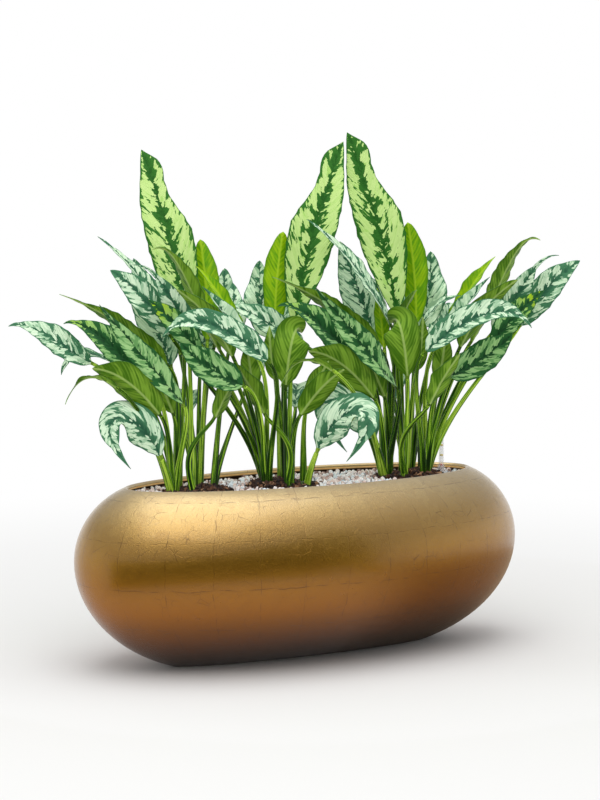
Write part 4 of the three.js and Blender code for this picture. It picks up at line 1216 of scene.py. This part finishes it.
def random_turns(random, count):
    """Random rotations, one for each small piece."""
    turns = random.normal(size=(count, 4))
    w, x, y, z = (turns / np.linalg.norm(turns, axis=1, keepdims=True)).T
    rows = [1 - 2 * (y * y + z * z), 2 * (x * y - z * w), 2 * (x * z + y * w),
            2 * (x * y + z * w), 1 - 2 * (x * x + z * z), 2 * (y * z - x * w),
            2 * (x * z - y * w), 2 * (y * z + x * w), 1 - 2 * (x * x + y * y)]
    return np.stack(rows, 1).reshape(-1, 3, 3)


print("bark chips are up to", CHIP_LENGTHS[1], "mm long")

# %% Root balls with chips
BALL_SIDES = 72
CHIPS = 760
SLOPE_STARTS = 0.86
BALL_SEED = 30


def ball_mound(plant, random):
    """The mound's own points and faces."""
    angle = np.arange(BALL_SIDES) * 2 * math.pi / BALL_SIDES
    side_top = ROOT_BALL_TOP - 9
    steps = [(0.86, ROOT_BALL_BOTTOM), (1, side_top - 20), (1, side_top), (0.96, side_top + 3),
             (0.86, ROOT_BALL_TOP - 2), (0.74, ROOT_BALL_TOP - 1), (0.6, ROOT_BALL_TOP),
             (0.42, ROOT_BALL_TOP), (0.25, ROOT_BALL_TOP), (0.1, ROOT_BALL_TOP)]
    rings = []
    for reach, height in steps:
        ring = ball_points(plant, reach, angle, height)
        if height > side_top:
            ring[:, 2] += random.uniform(-2.0, 1.2, BALL_SIDES)
            ring[:, 2] += mound(plant, ring[:, 0], ring[:, 1]) * (reach < 0.9)
        rings.append(ring)
    centre = ball_points(plant, 0, np.zeros(1), ROOT_BALL_TOP)[0]
    centre[2] += mound(plant, centre[0], centre[1])
    bottom = ball_points(plant, 0, np.zeros(1), ROOT_BALL_BOTTOM)[0]
    return loft(np.array(rings), bottom, centre)


def build_ball(plant, seed):
    """One root ball: a mound with bark chips over its top."""
    random = np.random.default_rng(seed)
    points, faces = ball_mound(plant, random)
    start = len(points)
    reach = np.sqrt(random.uniform(0.0, 1.0, CHIPS))
    angle = random.uniform(0, 2 * math.pi, CHIPS)
    drop = np.where(reach > SLOPE_STARTS, (reach - SLOPE_STARTS) / (1 - SLOPE_STARTS) * 7, 0)
    spots = ball_points(plant, reach, angle, ROOT_BALL_TOP - drop + random.uniform(-1, 3.5, CHIPS))
    spots[:, 2] += mound(plant, spots[:, 0], spots[:, 1])
    sizes = np.stack([random.uniform(*CHIP_LENGTHS, CHIPS), random.uniform(*CHIP_WIDTHS, CHIPS),
                      random.uniform(*CHIP_THICKNESSES, CHIPS)], 1)
    turns = random_turns(random, CHIPS)
    chips = np.einsum("nij,nkj->nki", turns, CHIP_SHAPE[None] * sizes[:, None]) + spots[:, None]
    for chip in range(CHIPS):
        faces += [tuple(corner + start + 8 * chip for corner in face) for face in CHIP_FACES]
    points = np.vstack([points, chips.reshape(-1, 3)])
    tints = np.concatenate([np.full(start, 0.2), np.repeat(random.beta(1.6, 2.6, CHIPS), 8)])
    piece = add_piece(f"{plant['name']}_bark_mix", points, faces, [bark], smooth=False)
    give(piece, "chip", np.stack([tints, tints, tints], 1))
    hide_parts(f"{plant['name']}_root_ball")


for number, plant in enumerate(PLANTS):
    build_ball(plant, BALL_SEED + number)
print("bark chips in all:", CHIPS * len(PLANTS))

# %% [markdown]
# ## Pumice granules
#
# The surface is covered with crushed pumice, pale grains of 5 to 9 mm: mostly off-white, some pinkish
# brown and some bluish. It is volcanic glass full of air and looks matt. Its fine pores are drawn 1.4 mm
# wide, so that they show. A bumpy sheet could stand for it from afar, but from near the gaps between the
# grains are what shows. So every grain is a small faceted stone with its own tint and turn, and grains
# that lie lower are painted darker, as painted shade in the gaps between the grains. Pumice passes light
# on from grain to grain, and a weak glow of its own colour stands for that.

# %% Pumice material
PORE_SIZE = 1.43

pumice, tree, shader = start_material("pumice_granules_pale", roughness=0.9, emission_strength=0.18)
tint = add_node(tree, "SeparateXYZ", add_node(tree, "Attribute", attribute_name="grain").outputs["Vector"])
space = add_node(tree, "TexCoord").outputs["Object"]
pores = add_node(tree, "TexNoise", {"Vector": space, "Scale": pattern_scale(PORE_SIZE * MM),
                                    "Detail": 4.0, "Roughness": 0.7})
colour = add_node(tree, "ValToRGB", tint, stops=[
    (0.0, "#ffffff"), (0.3, "#fbf0ec"), (0.5, "#f0dcd4"), (0.64, "#e4f0f6"), (0.8, "#cdb2a8"),
    (0.92, "#8a6f66")])
colour.color_ramp.interpolation = "CONSTANT"
pore_share = add_node(tree, "MapRange", pores, 0.4, 0.8, 0.0, 0.45)
pored = add_node(tree, "Mix", pore_share, colour, "#8d7f7b", data_type="RGBA")
# Grains that lie lower are mixed towards near black: painted shade in the gaps.
grain_in_painted_shade = add_node(tree, "Mix", tint.outputs["Y"], pored, "#251a16", data_type="RGBA")
plug(tree, shader.inputs["Base Color"], grain_in_painted_shade)
plug(tree, shader.inputs["Emission Color"], grain_in_painted_shade)
plug(tree, shader.inputs["Normal"],
     add_node(tree, "Bump", {"Height": pores, "Strength": 0.6, "Distance": 0.001}))
print("pores of the pumice:", PORE_SIZE, "mm")

# %% Shape of a grain
GOLDEN = (1 + math.sqrt(5)) / 2


def stone_shape():
    """A twenty-sided stone one across, its corners and faces."""
    corners = []
    for one in (-1, 1):
        for other in (-GOLDEN, GOLDEN):
            corners += [(0, one, other), (one, other, 0), (other, 0, one)]
    corners = np.array(corners) / math.hypot(1, GOLDEN) / 2
    faces = []
    edge = 1 / math.hypot(1, GOLDEN) * 1.01
    for a in range(12):
        for b in range(a + 1, 12):
            for c in range(b + 1, 12):
                sides = [np.linalg.norm(corners[one] - corners[other]) for one, other in
                         ((a, b), (b, c), (a, c))]
                if max(sides) < edge:
                    out = np.dot(np.cross(corners[b] - corners[a], corners[c] - corners[a]), corners[a])
                    faces.append((a, b, c) if out > 0 else (a, c, b))
    return corners, faces


corners, stone_faces = stone_shape()
print("a grain has", len(stone_faces), "faces")

# %% Where the grains lie
# Grains lie on a grid of rows that is shaken a little, inside the bowl's wall and outside the root balls
# and the gauge's cone. Behind, the mix shows between them and the wall.
GRAIN_SPACING = 7.0
GRAIN_ROWS = 19
GRAIN_COLUMNS = 48
ROW_PITCH = 0.87
SHAKE = 1.6
WALL_LEVEL = 281
WALL_ROOM = 4.0
BACK_ROOM = 16
GRANULE_SHIFT_Y = -3.0
GAUGE_X = 271.0
COLLAR_RADIUS = 14.5


def inside_ball(x, y, grow):
    """Whether spots lie inside one of the root balls."""
    found = np.zeros(len(x), bool)
    for plant in PLANTS:
        right, away = from_clump(plant, x, y)
        right = right - BALL_SHIFT * plant["mirror"]
        angle = np.arctan2(away / BALL_HALF_WIDTH, right / BALL_HALF_LENGTH) % (2 * math.pi)
        reach = np.hypot(right / (BALL_HALF_LENGTH + grow), away / (BALL_HALF_WIDTH + grow))
        found |= reach < ball_outline(angle)
    return found


def strew(random, level, spread):
    """One layer of grain centres on a jittered grid over the mouth of the bowl."""
    column, row = np.meshgrid(np.arange(-GRAIN_COLUMNS, GRAIN_COLUMNS + 1),
                              np.arange(-GRAIN_ROWS, GRAIN_ROWS + 1))
    x = (column + (row % 2) / 2).ravel() * GRAIN_SPACING + random.uniform(-SHAKE, SHAKE, column.size)
    y = row.ravel() * GRAIN_SPACING * ROW_PITCH + random.uniform(-SHAKE, SHAKE, row.size)
    inset = bowl_point(WALL_LEVEL, WALL)[0] + WALL_ROOM
    half_length = PLANTER_LENGTH / 2 - inset
    half_width = PLANTER_WIDTH / 2 - inset
    room = np.hypot(x / half_length, (y - GRANULE_SHIFT_Y) / half_width) < 1
    room &= (y < 0) | (np.hypot(x / half_length, y / (half_width - BACK_ROOM)) < 1)
    room &= ~inside_ball(x, y, 0.5)
    room &= np.hypot(x - GAUGE_X, y) > COLLAR_RADIUS + 1
    x, y = x[room], y[room]
    return np.stack([x, y, level + random.uniform(-spread, spread, len(x))], 1)


print("grains lie", GRAIN_SPACING, "mm apart")

# %% Strew the granules
# Two full layers lie over the mix, each at a level and with a spread up and down, and a thin one on them.
GRAIN_SIZES = (4.8, 8.8)
THIN_SHARE = 0.3
PAINTED_SHADE_LEVEL = 276.4
PAINTED_SHADE_DEPTH = 4
MOST_PAINTED_SHADE = 0.95
GRAIN_SEED = 23
FULL_LAYERS = ((270.6, 0.8), (275.2, 1.8))
THIN_LAYER = (279.0, 1.2)

random = np.random.default_rng(GRAIN_SEED)
spots = np.vstack([strew(random, level, spread) for level, spread in FULL_LAYERS])
extra = strew(random, *THIN_LAYER)
spots = np.vstack([spots, extra[random.uniform(size=len(extra)) < THIN_SHARE]])
count = len(spots)
sizes = random.uniform(*GRAIN_SIZES, (count, 1)) * random.uniform(0.75, 1.15, (count, 3))
shapes = corners[None] * sizes[:, None] * random.uniform(0.8, 1.15, (count, 12, 1))
points = np.einsum("nij,nkj->nki", random_turns(random, count), shapes) + spots[:, None]
faces = [tuple(corner + 12 * grain for corner in face) for grain in range(count) for face in stone_faces]
granules = add_piece("pumice_granules", points.reshape(-1, 3), faces, [pumice], smooth=False)
tints = np.repeat(random.uniform(size=count), 12)
# How far a grain lies below 276.4 mm, counted over 4 mm, sets its painted shade, up to 0.95.
painted_shade = np.clip((PAINTED_SHADE_LEVEL - np.repeat(spots[:, 2], 12)) / PAINTED_SHADE_DEPTH, 0, MOST_PAINTED_SHADE)
give(granules, "grain", np.stack([tints, painted_shade, tints], 1))
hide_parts("pumice_layer")
print("granules:", count)

# %% [markdown]
# ## Water level gauge
#
# The gauge is an extruded clear tube with a moulded clear cone at the surface and a red float on a rod
# inside it. Clear plastic has an IOR of 1.49 and bends what is behind it, but the wall is thin, and
# light falling on it gives it some pale grey of its own. Transmission would be the usual way to make it.
# Here a pale and mostly see-through wall is enough, and it casts no shadow. Two short yellow bars mark the
# lowest and highest level. Each part is a turned shape.

# %% Gauge materials
# Acrylic is smooth and clear, polystyrene is glossy and strong in colour, and printed ink is duller.
# Moulded and printed surfaces are uneven at 2 to 3 mm, which is only just seen.
MOULDED_SIZE = 3.33
INKED_SIZE = 2.0

acrylic, tree, shader = start_material("acrylic_tube_clear", roughness=0.12, alpha=0.22, ior=1.49)
surface = add_node(tree, "TexNoise", {"Scale": pattern_scale(MOULDED_SIZE * MM), "Detail": 2.0})
plug(tree, shader.inputs["Base Color"],
     add_node(tree, "ValToRGB", surface, stops=[(0.3, "#ececee"), (0.7, "#f8f8fa")]))
float_red, tree, shader = start_material("polystyrene_float_red", roughness=0.35, ior=1.59)
surface = add_node(tree, "TexNoise", {"Scale": pattern_scale(INKED_SIZE * MM), "Detail": 2.0})
plug(tree, shader.inputs["Base Color"],
     add_node(tree, "ValToRGB", surface, stops=[(0.3, "#c81a10"), (0.7, "#dc2a1c")]))
mark_ink, tree, shader = start_material("printed_mark_yellow", roughness=0.5)
surface = add_node(tree, "TexNoise", {"Scale": pattern_scale(INKED_SIZE * MM), "Detail": 2.0})
plug(tree, shader.inputs["Base Color"],
     add_node(tree, "ValToRGB", surface, stops=[(0.3, "#dcbb48"), (0.7, "#ead06a")]))
print("gauge finishes:", acrylic.name, float_red.name, mark_ink.name)

# %% Gauge tube and float
# The tube is hollow and closed at the top. The float sits at its foot, and the rod carries a red tip.
TUBE_RADIUS = 4.5
TUBE_BORE = 3.3
TUBE_BOTTOM = 44.0
TUBE_TOP = 337.0
FLOAT_TOP = 293.5
FLOAT_RADIUS = 2.7
ROD_RADIUS = 1.6
TURNED_SIDES = 40


def turned_piece(name, outline, material, node):
    """A shape turned round the gauge's axis from an outline of radius and height that ends on the axis."""
    rings = np.array([oval_ring(radius, radius, height, TURNED_SIDES) for radius, height in outline[1:-1]])
    points, faces = loft(rings, (0, 0, outline[0][1]), (0, 0, outline[-1][1]))
    piece = add_piece(name, points + [GAUGE_X, 0, 0], faces, [material])
    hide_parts(node)
    return piece


tube_outline = [(0, TUBE_TOP - 2), (TUBE_BORE - 0.4, TUBE_TOP - 2), (TUBE_BORE, TUBE_TOP - 2.6),
                (TUBE_BORE, TUBE_BOTTOM), (TUBE_RADIUS, TUBE_BOTTOM), (TUBE_RADIUS, TUBE_TOP - 1),
                (TUBE_RADIUS - 0.3, TUBE_TOP - 0.3), (TUBE_RADIUS - 1, TUBE_TOP), (0, TUBE_TOP)]
tube = turned_piece("gauge_clear_tube", tube_outline, acrylic, "gauge_tube")
float_outline = [(0, TUBE_BOTTOM), (FLOAT_RADIUS, TUBE_BOTTOM), (FLOAT_RADIUS, TUBE_BOTTOM + 30),
                 (ROD_RADIUS, TUBE_BOTTOM + 34), (ROD_RADIUS, FLOAT_TOP - 6),
                 (FLOAT_RADIUS, FLOAT_TOP - 5), (FLOAT_RADIUS, FLOAT_TOP - 0.6),
                 (FLOAT_RADIUS - 0.6, FLOAT_TOP), (0, FLOAT_TOP)]
turned_piece("gauge_red_float", float_outline, float_red, "gauge_float")
print("the gauge stands to", TUBE_TOP, "mm")

# %% Gauge marks and cone
PAD_LEVEL = 278.0
COLLAR_HEIGHT = 13.0
MARK_LEVELS = (309.0, 326.0)
MARK_HALF = 1.2
MARK_ANGLES = (-158, -82)
MARK_INNER = TUBE_RADIUS - 0.1
MARK_OUTER = TUBE_RADIUS + 0.15

band = [(MARK_INNER, -MARK_HALF), (MARK_OUTER, -MARK_HALF), (MARK_OUTER, MARK_HALF),
        (MARK_INNER, MARK_HALF)]
for number, level in enumerate(MARK_LEVELS):
    rings = np.array([[(out * math.cos(angle), out * math.sin(angle), level + up) for out, up in band]
                      for angle in np.radians(np.linspace(*MARK_ANGLES, 13))])
    points, faces = loft(rings, rings[0].mean(0), rings[-1].mean(0))
    add_piece(f"gauge_mark_{number + 1}", points + [GAUGE_X, 0, 0], faces, [mark_ink])

low = PAD_LEVEL + GAP
bore = TUBE_RADIUS + GAP
collar_outline = [(bore, low), (COLLAR_RADIUS, low), (COLLAR_RADIUS, low + 1.5),
                  (COLLAR_RADIUS - 1.6, low + 2.6), (bore + 2.0, low + COLLAR_HEIGHT - 3.8),
                  (bore + 1.0, low + COLLAR_HEIGHT), (bore, low + COLLAR_HEIGHT), (bore, low)]
rings = np.array([oval_ring(radius, radius, height, TURNED_SIDES) for radius, height in collar_outline])
points, faces = loft(rings)
collar = add_piece("gauge_clear_cone", points + [GAUGE_X, 0, 0], faces, [acrylic])
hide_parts("gauge_collar")
for piece in (tube, collar):
    piece.visible_shadow = False
print("marks stand at", MARK_LEVELS, "mm")

# %% [markdown]
# ## Stage
#
# The floor and the background are white, and the floor fades into the background, so that only a soft
# shadow under the bowl shows where it stands. One large softbox hangs high at the front left, where the
# bowl has its brightest patch, and the sky gives the rest.
#
# A polished bowl shows its surroundings, so a photographer stands dark things round it, out of the
# picture. A dark olive screen in front makes the dark band across the belly. A brown sheet at the right
# makes the brown of the lower right side. It stands for the floor in the bowl's shade as the bowl mirrors
# it, so it is painted shade, darkest from about 0.28 to 0.42 m out. Painting those shades on the bowl
# would be wrong from every other side. The screen and the sheet are seen in reflections only.

# %% Stage helpers
STAGE_LEVEL = 174
UNEVENNESS = 333.0


def stage_piece(name, points, faces, material):
    """A piece of the studio, in millimetres."""
    mesh = bpy.data.meshes.new(name)
    mesh.from_pydata((np.asarray(points, float) * MM).tolist(), [], faces)
    mesh.materials.append(material)
    made = bpy.data.objects.new(name, mesh)
    bpy.context.scene.collection.objects.link(made)
    made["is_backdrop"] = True
    return made


def matt(name, dark, light):
    """A matt studio surface with a faint unevenness."""
    material, tree, shader = start_material(name, roughness=0.9)
    cloud = add_node(tree, "TexNoise", {"Scale": pattern_scale(UNEVENNESS * MM), "Detail": 2.0})
    plug(tree, shader.inputs["Base Color"],
         add_node(tree, "ValToRGB", cloud, stops=[(0.3, dark), (0.7, light)]))
    return material, tree, shader


def toward(azimuth, elevation, distance):
    """A point at a direction and distance from the middle of the bowl."""
    azimuth, elevation = math.radians(azimuth), math.radians(elevation)
    flat = math.cos(elevation) * distance
    return np.array([math.cos(azimuth) * flat, math.sin(azimuth) * flat,
                     STAGE_LEVEL + math.sin(elevation) * distance])


print("the stage is laid out round a point", STAGE_LEVEL, "mm up")

# %% Floor
# White paper, matt. From 0.45 to 2 metres out it turns by degrees into an even glow like the sky's.
SKY_AT_HORIZON = 1.0
FLOOR_HALF = 30000
FADE_FROM = 0.45
FADE_TO = 2.0

paper, tree, shader = matt("studio_floor_pale", "#e8e8e7", "#eeeeed")
spot = add_node(tree, "TexCoord").outputs["Object"]
from_middle = add_node(tree, "VectorMath", spot, operation="LENGTH")
far = add_node(tree, "MapRange", from_middle, FADE_FROM, FADE_TO, interpolation_type="SMOOTHSTEP")
glow = add_node(tree, "Emission", (SKY_AT_HORIZON, SKY_AT_HORIZON, SKY_AT_HORIZON, 1.0), 1.0)
joined = add_node(tree, "MixShader", far, shader, glow)
plug(tree, tree.nodes["Material Output"].inputs["Surface"], joined)
stage_piece("studio_floor", [(-FLOOR_HALF, -FLOOR_HALF, 0), (FLOOR_HALF, -FLOOR_HALF, 0),
                             (FLOOR_HALF, FLOOR_HALF, 0), (-FLOOR_HALF, FLOOR_HALF, 0)],
            [(0, 1, 2, 3)], paper)
print("the floor fades out from", FADE_FROM, "to", FADE_TO, "m")

# %% Dark screen and sheet of painted floor shade
CLOTH_STEPS = 24
OVER_FLOOR = 2
SCREEN_DISTANCE = 1700


def cloth(name, first, last, rows, material):
    """A cloth round the bowl from one azimuth to another, seen in reflections only.
    Each row is the point at an azimuth: a function of it and of how far round it is, from 0 to 1."""
    points = []
    for step in range(CLOTH_STEPS + 1):
        share = step / CLOTH_STEPS
        points += [row(first + (last - first) * share, share) for row in rows]
    count = len(rows)
    faces = [(count * step + row, count * (step + 1) + row, count * (step + 1) + row + 1,
              count * step + row + 1) for step in range(CLOTH_STEPS) for row in range(count - 1)]
    made = stage_piece(name, points, faces, material)
    made.visible_camera = False
    made.visible_diffuse = False
    made.visible_shadow = False
    made.visible_transmission = False


def on_floor(radius):
    """A row of a cloth that lies on the floor at a radius."""
    return lambda azimuth, _: toward(azimuth, 0, radius) - [0, 0, STAGE_LEVEL - OVER_FLOOR]


def screen_top(azimuth, share):
    """The upper edge of the screen, which rises from left to right."""
    return toward(azimuth, 4 + 38 * share ** 2, SCREEN_DISTANCE)


screen_weave = matt("dark_screen_weave", "#77722f", "#837d38")[0]
cloth("dark_screen", -174, -60, [on_floor(640), on_floor(1500), screen_top], screen_weave)

# The brown sheet is painted shade: the floor in the bowl's shade, as the bowl mirrors it.
floor_shade_weave, tree, shader = matt("painted_floor_shade_weave", "#a08f7b", "#ae9d88")
spot = add_node(tree, "TexCoord").outputs["Object"]
out = add_node(tree, "VectorMath", spot, operation="LENGTH")
# Darkest from about 0.28 to 0.42 m out and lighter nearer and farther: a painted shadow of the bowl on the
# floor.
plug(tree, shader.inputs["Base Color"], add_node(tree, "ValToRGB", out, stops=[
    (0.1, "#c4beb6"), (0.28, "#a69886"), (0.42, "#a3927c"), (0.65, "#ae9d84"), (1.0, "#b5a48b")]))
parts = add_node(tree, "SeparateXYZ", spot)
azimuth = add_node(tree, "Math", parts.outputs["Y"], parts.outputs["X"], operation="ARCTAN2")
from_right = add_node(tree, "Math", add_node(tree, "Math", azimuth, 0.05, operation="ADD"),
                      operation="ABSOLUTE")
plug(tree, shader.inputs["Alpha"],
     add_node(tree, "MapRange", from_right, 0.6, 1.35, 1.0, 0.0, interpolation_type="SMOOTHSTEP"))
cloth("painted_floor_shade_sheet", -80, 75, [on_floor(20), on_floor(500), on_floor(1050)], floor_shade_weave)
print("the screen reaches up", round(screen_top(-60, 1)[2]), "mm")

# %% Light and sky
# The sky is white at the horizon, where it is the background, and dimmer higher up, so that the softbox
# still models the leaves.
SOFTBOX_SIZE = (2.0, 3.8)
SOFTBOX_POWER = 43
SOFTBOX_AIM = (0, 0, 0.35)
SOFTBOX_PLACE = (-128, 75, 2500)

softbox = bpy.data.objects.new("softbox", bpy.data.lights.new("softbox", "AREA"))
softbox.data.shape = "RECTANGLE"
softbox.data.size, softbox.data.size_y = SOFTBOX_SIZE
softbox.data.energy = SOFTBOX_POWER
softbox.location = Vector(toward(*SOFTBOX_PLACE)) * MM
softbox.rotation_euler = (Vector(SOFTBOX_AIM) - softbox.location).to_track_quat("-Z", "Y").to_euler()
bpy.context.scene.collection.objects.link(softbox)

world = bpy.data.worlds.new("studio_sky")
bpy.context.scene.world = world
world.use_nodes = True
direction = add_node(world.node_tree, "TexCoord").outputs["Generated"]
rise = add_node(world.node_tree, "SeparateXYZ", direction).outputs["Z"]
sky = add_node(world.node_tree, "ValToRGB", rise, stops=[
    (0.0, SKY_AT_HORIZON), (0.1, SKY_AT_HORIZON), (0.3, 0.64), (0.5, 0.62), (0.66, 0.7), (0.8, 0.86),
    (1.0, 0.97)])
plug(world.node_tree, world.node_tree.nodes["Background"].inputs["Color"], sky)
bpy.context.scene.view_settings.view_transform = "Standard"
print("the softbox hangs", round(softbox.location.z, 2), "m high")

# %% [markdown]
# ## Size of the dressed model
#
# The box round the dressed model is measured, and its size is printed.

# %% Measure the dressed model
low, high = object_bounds()
print("dressed size in metres:", [round(value, 3) for value in high - low])
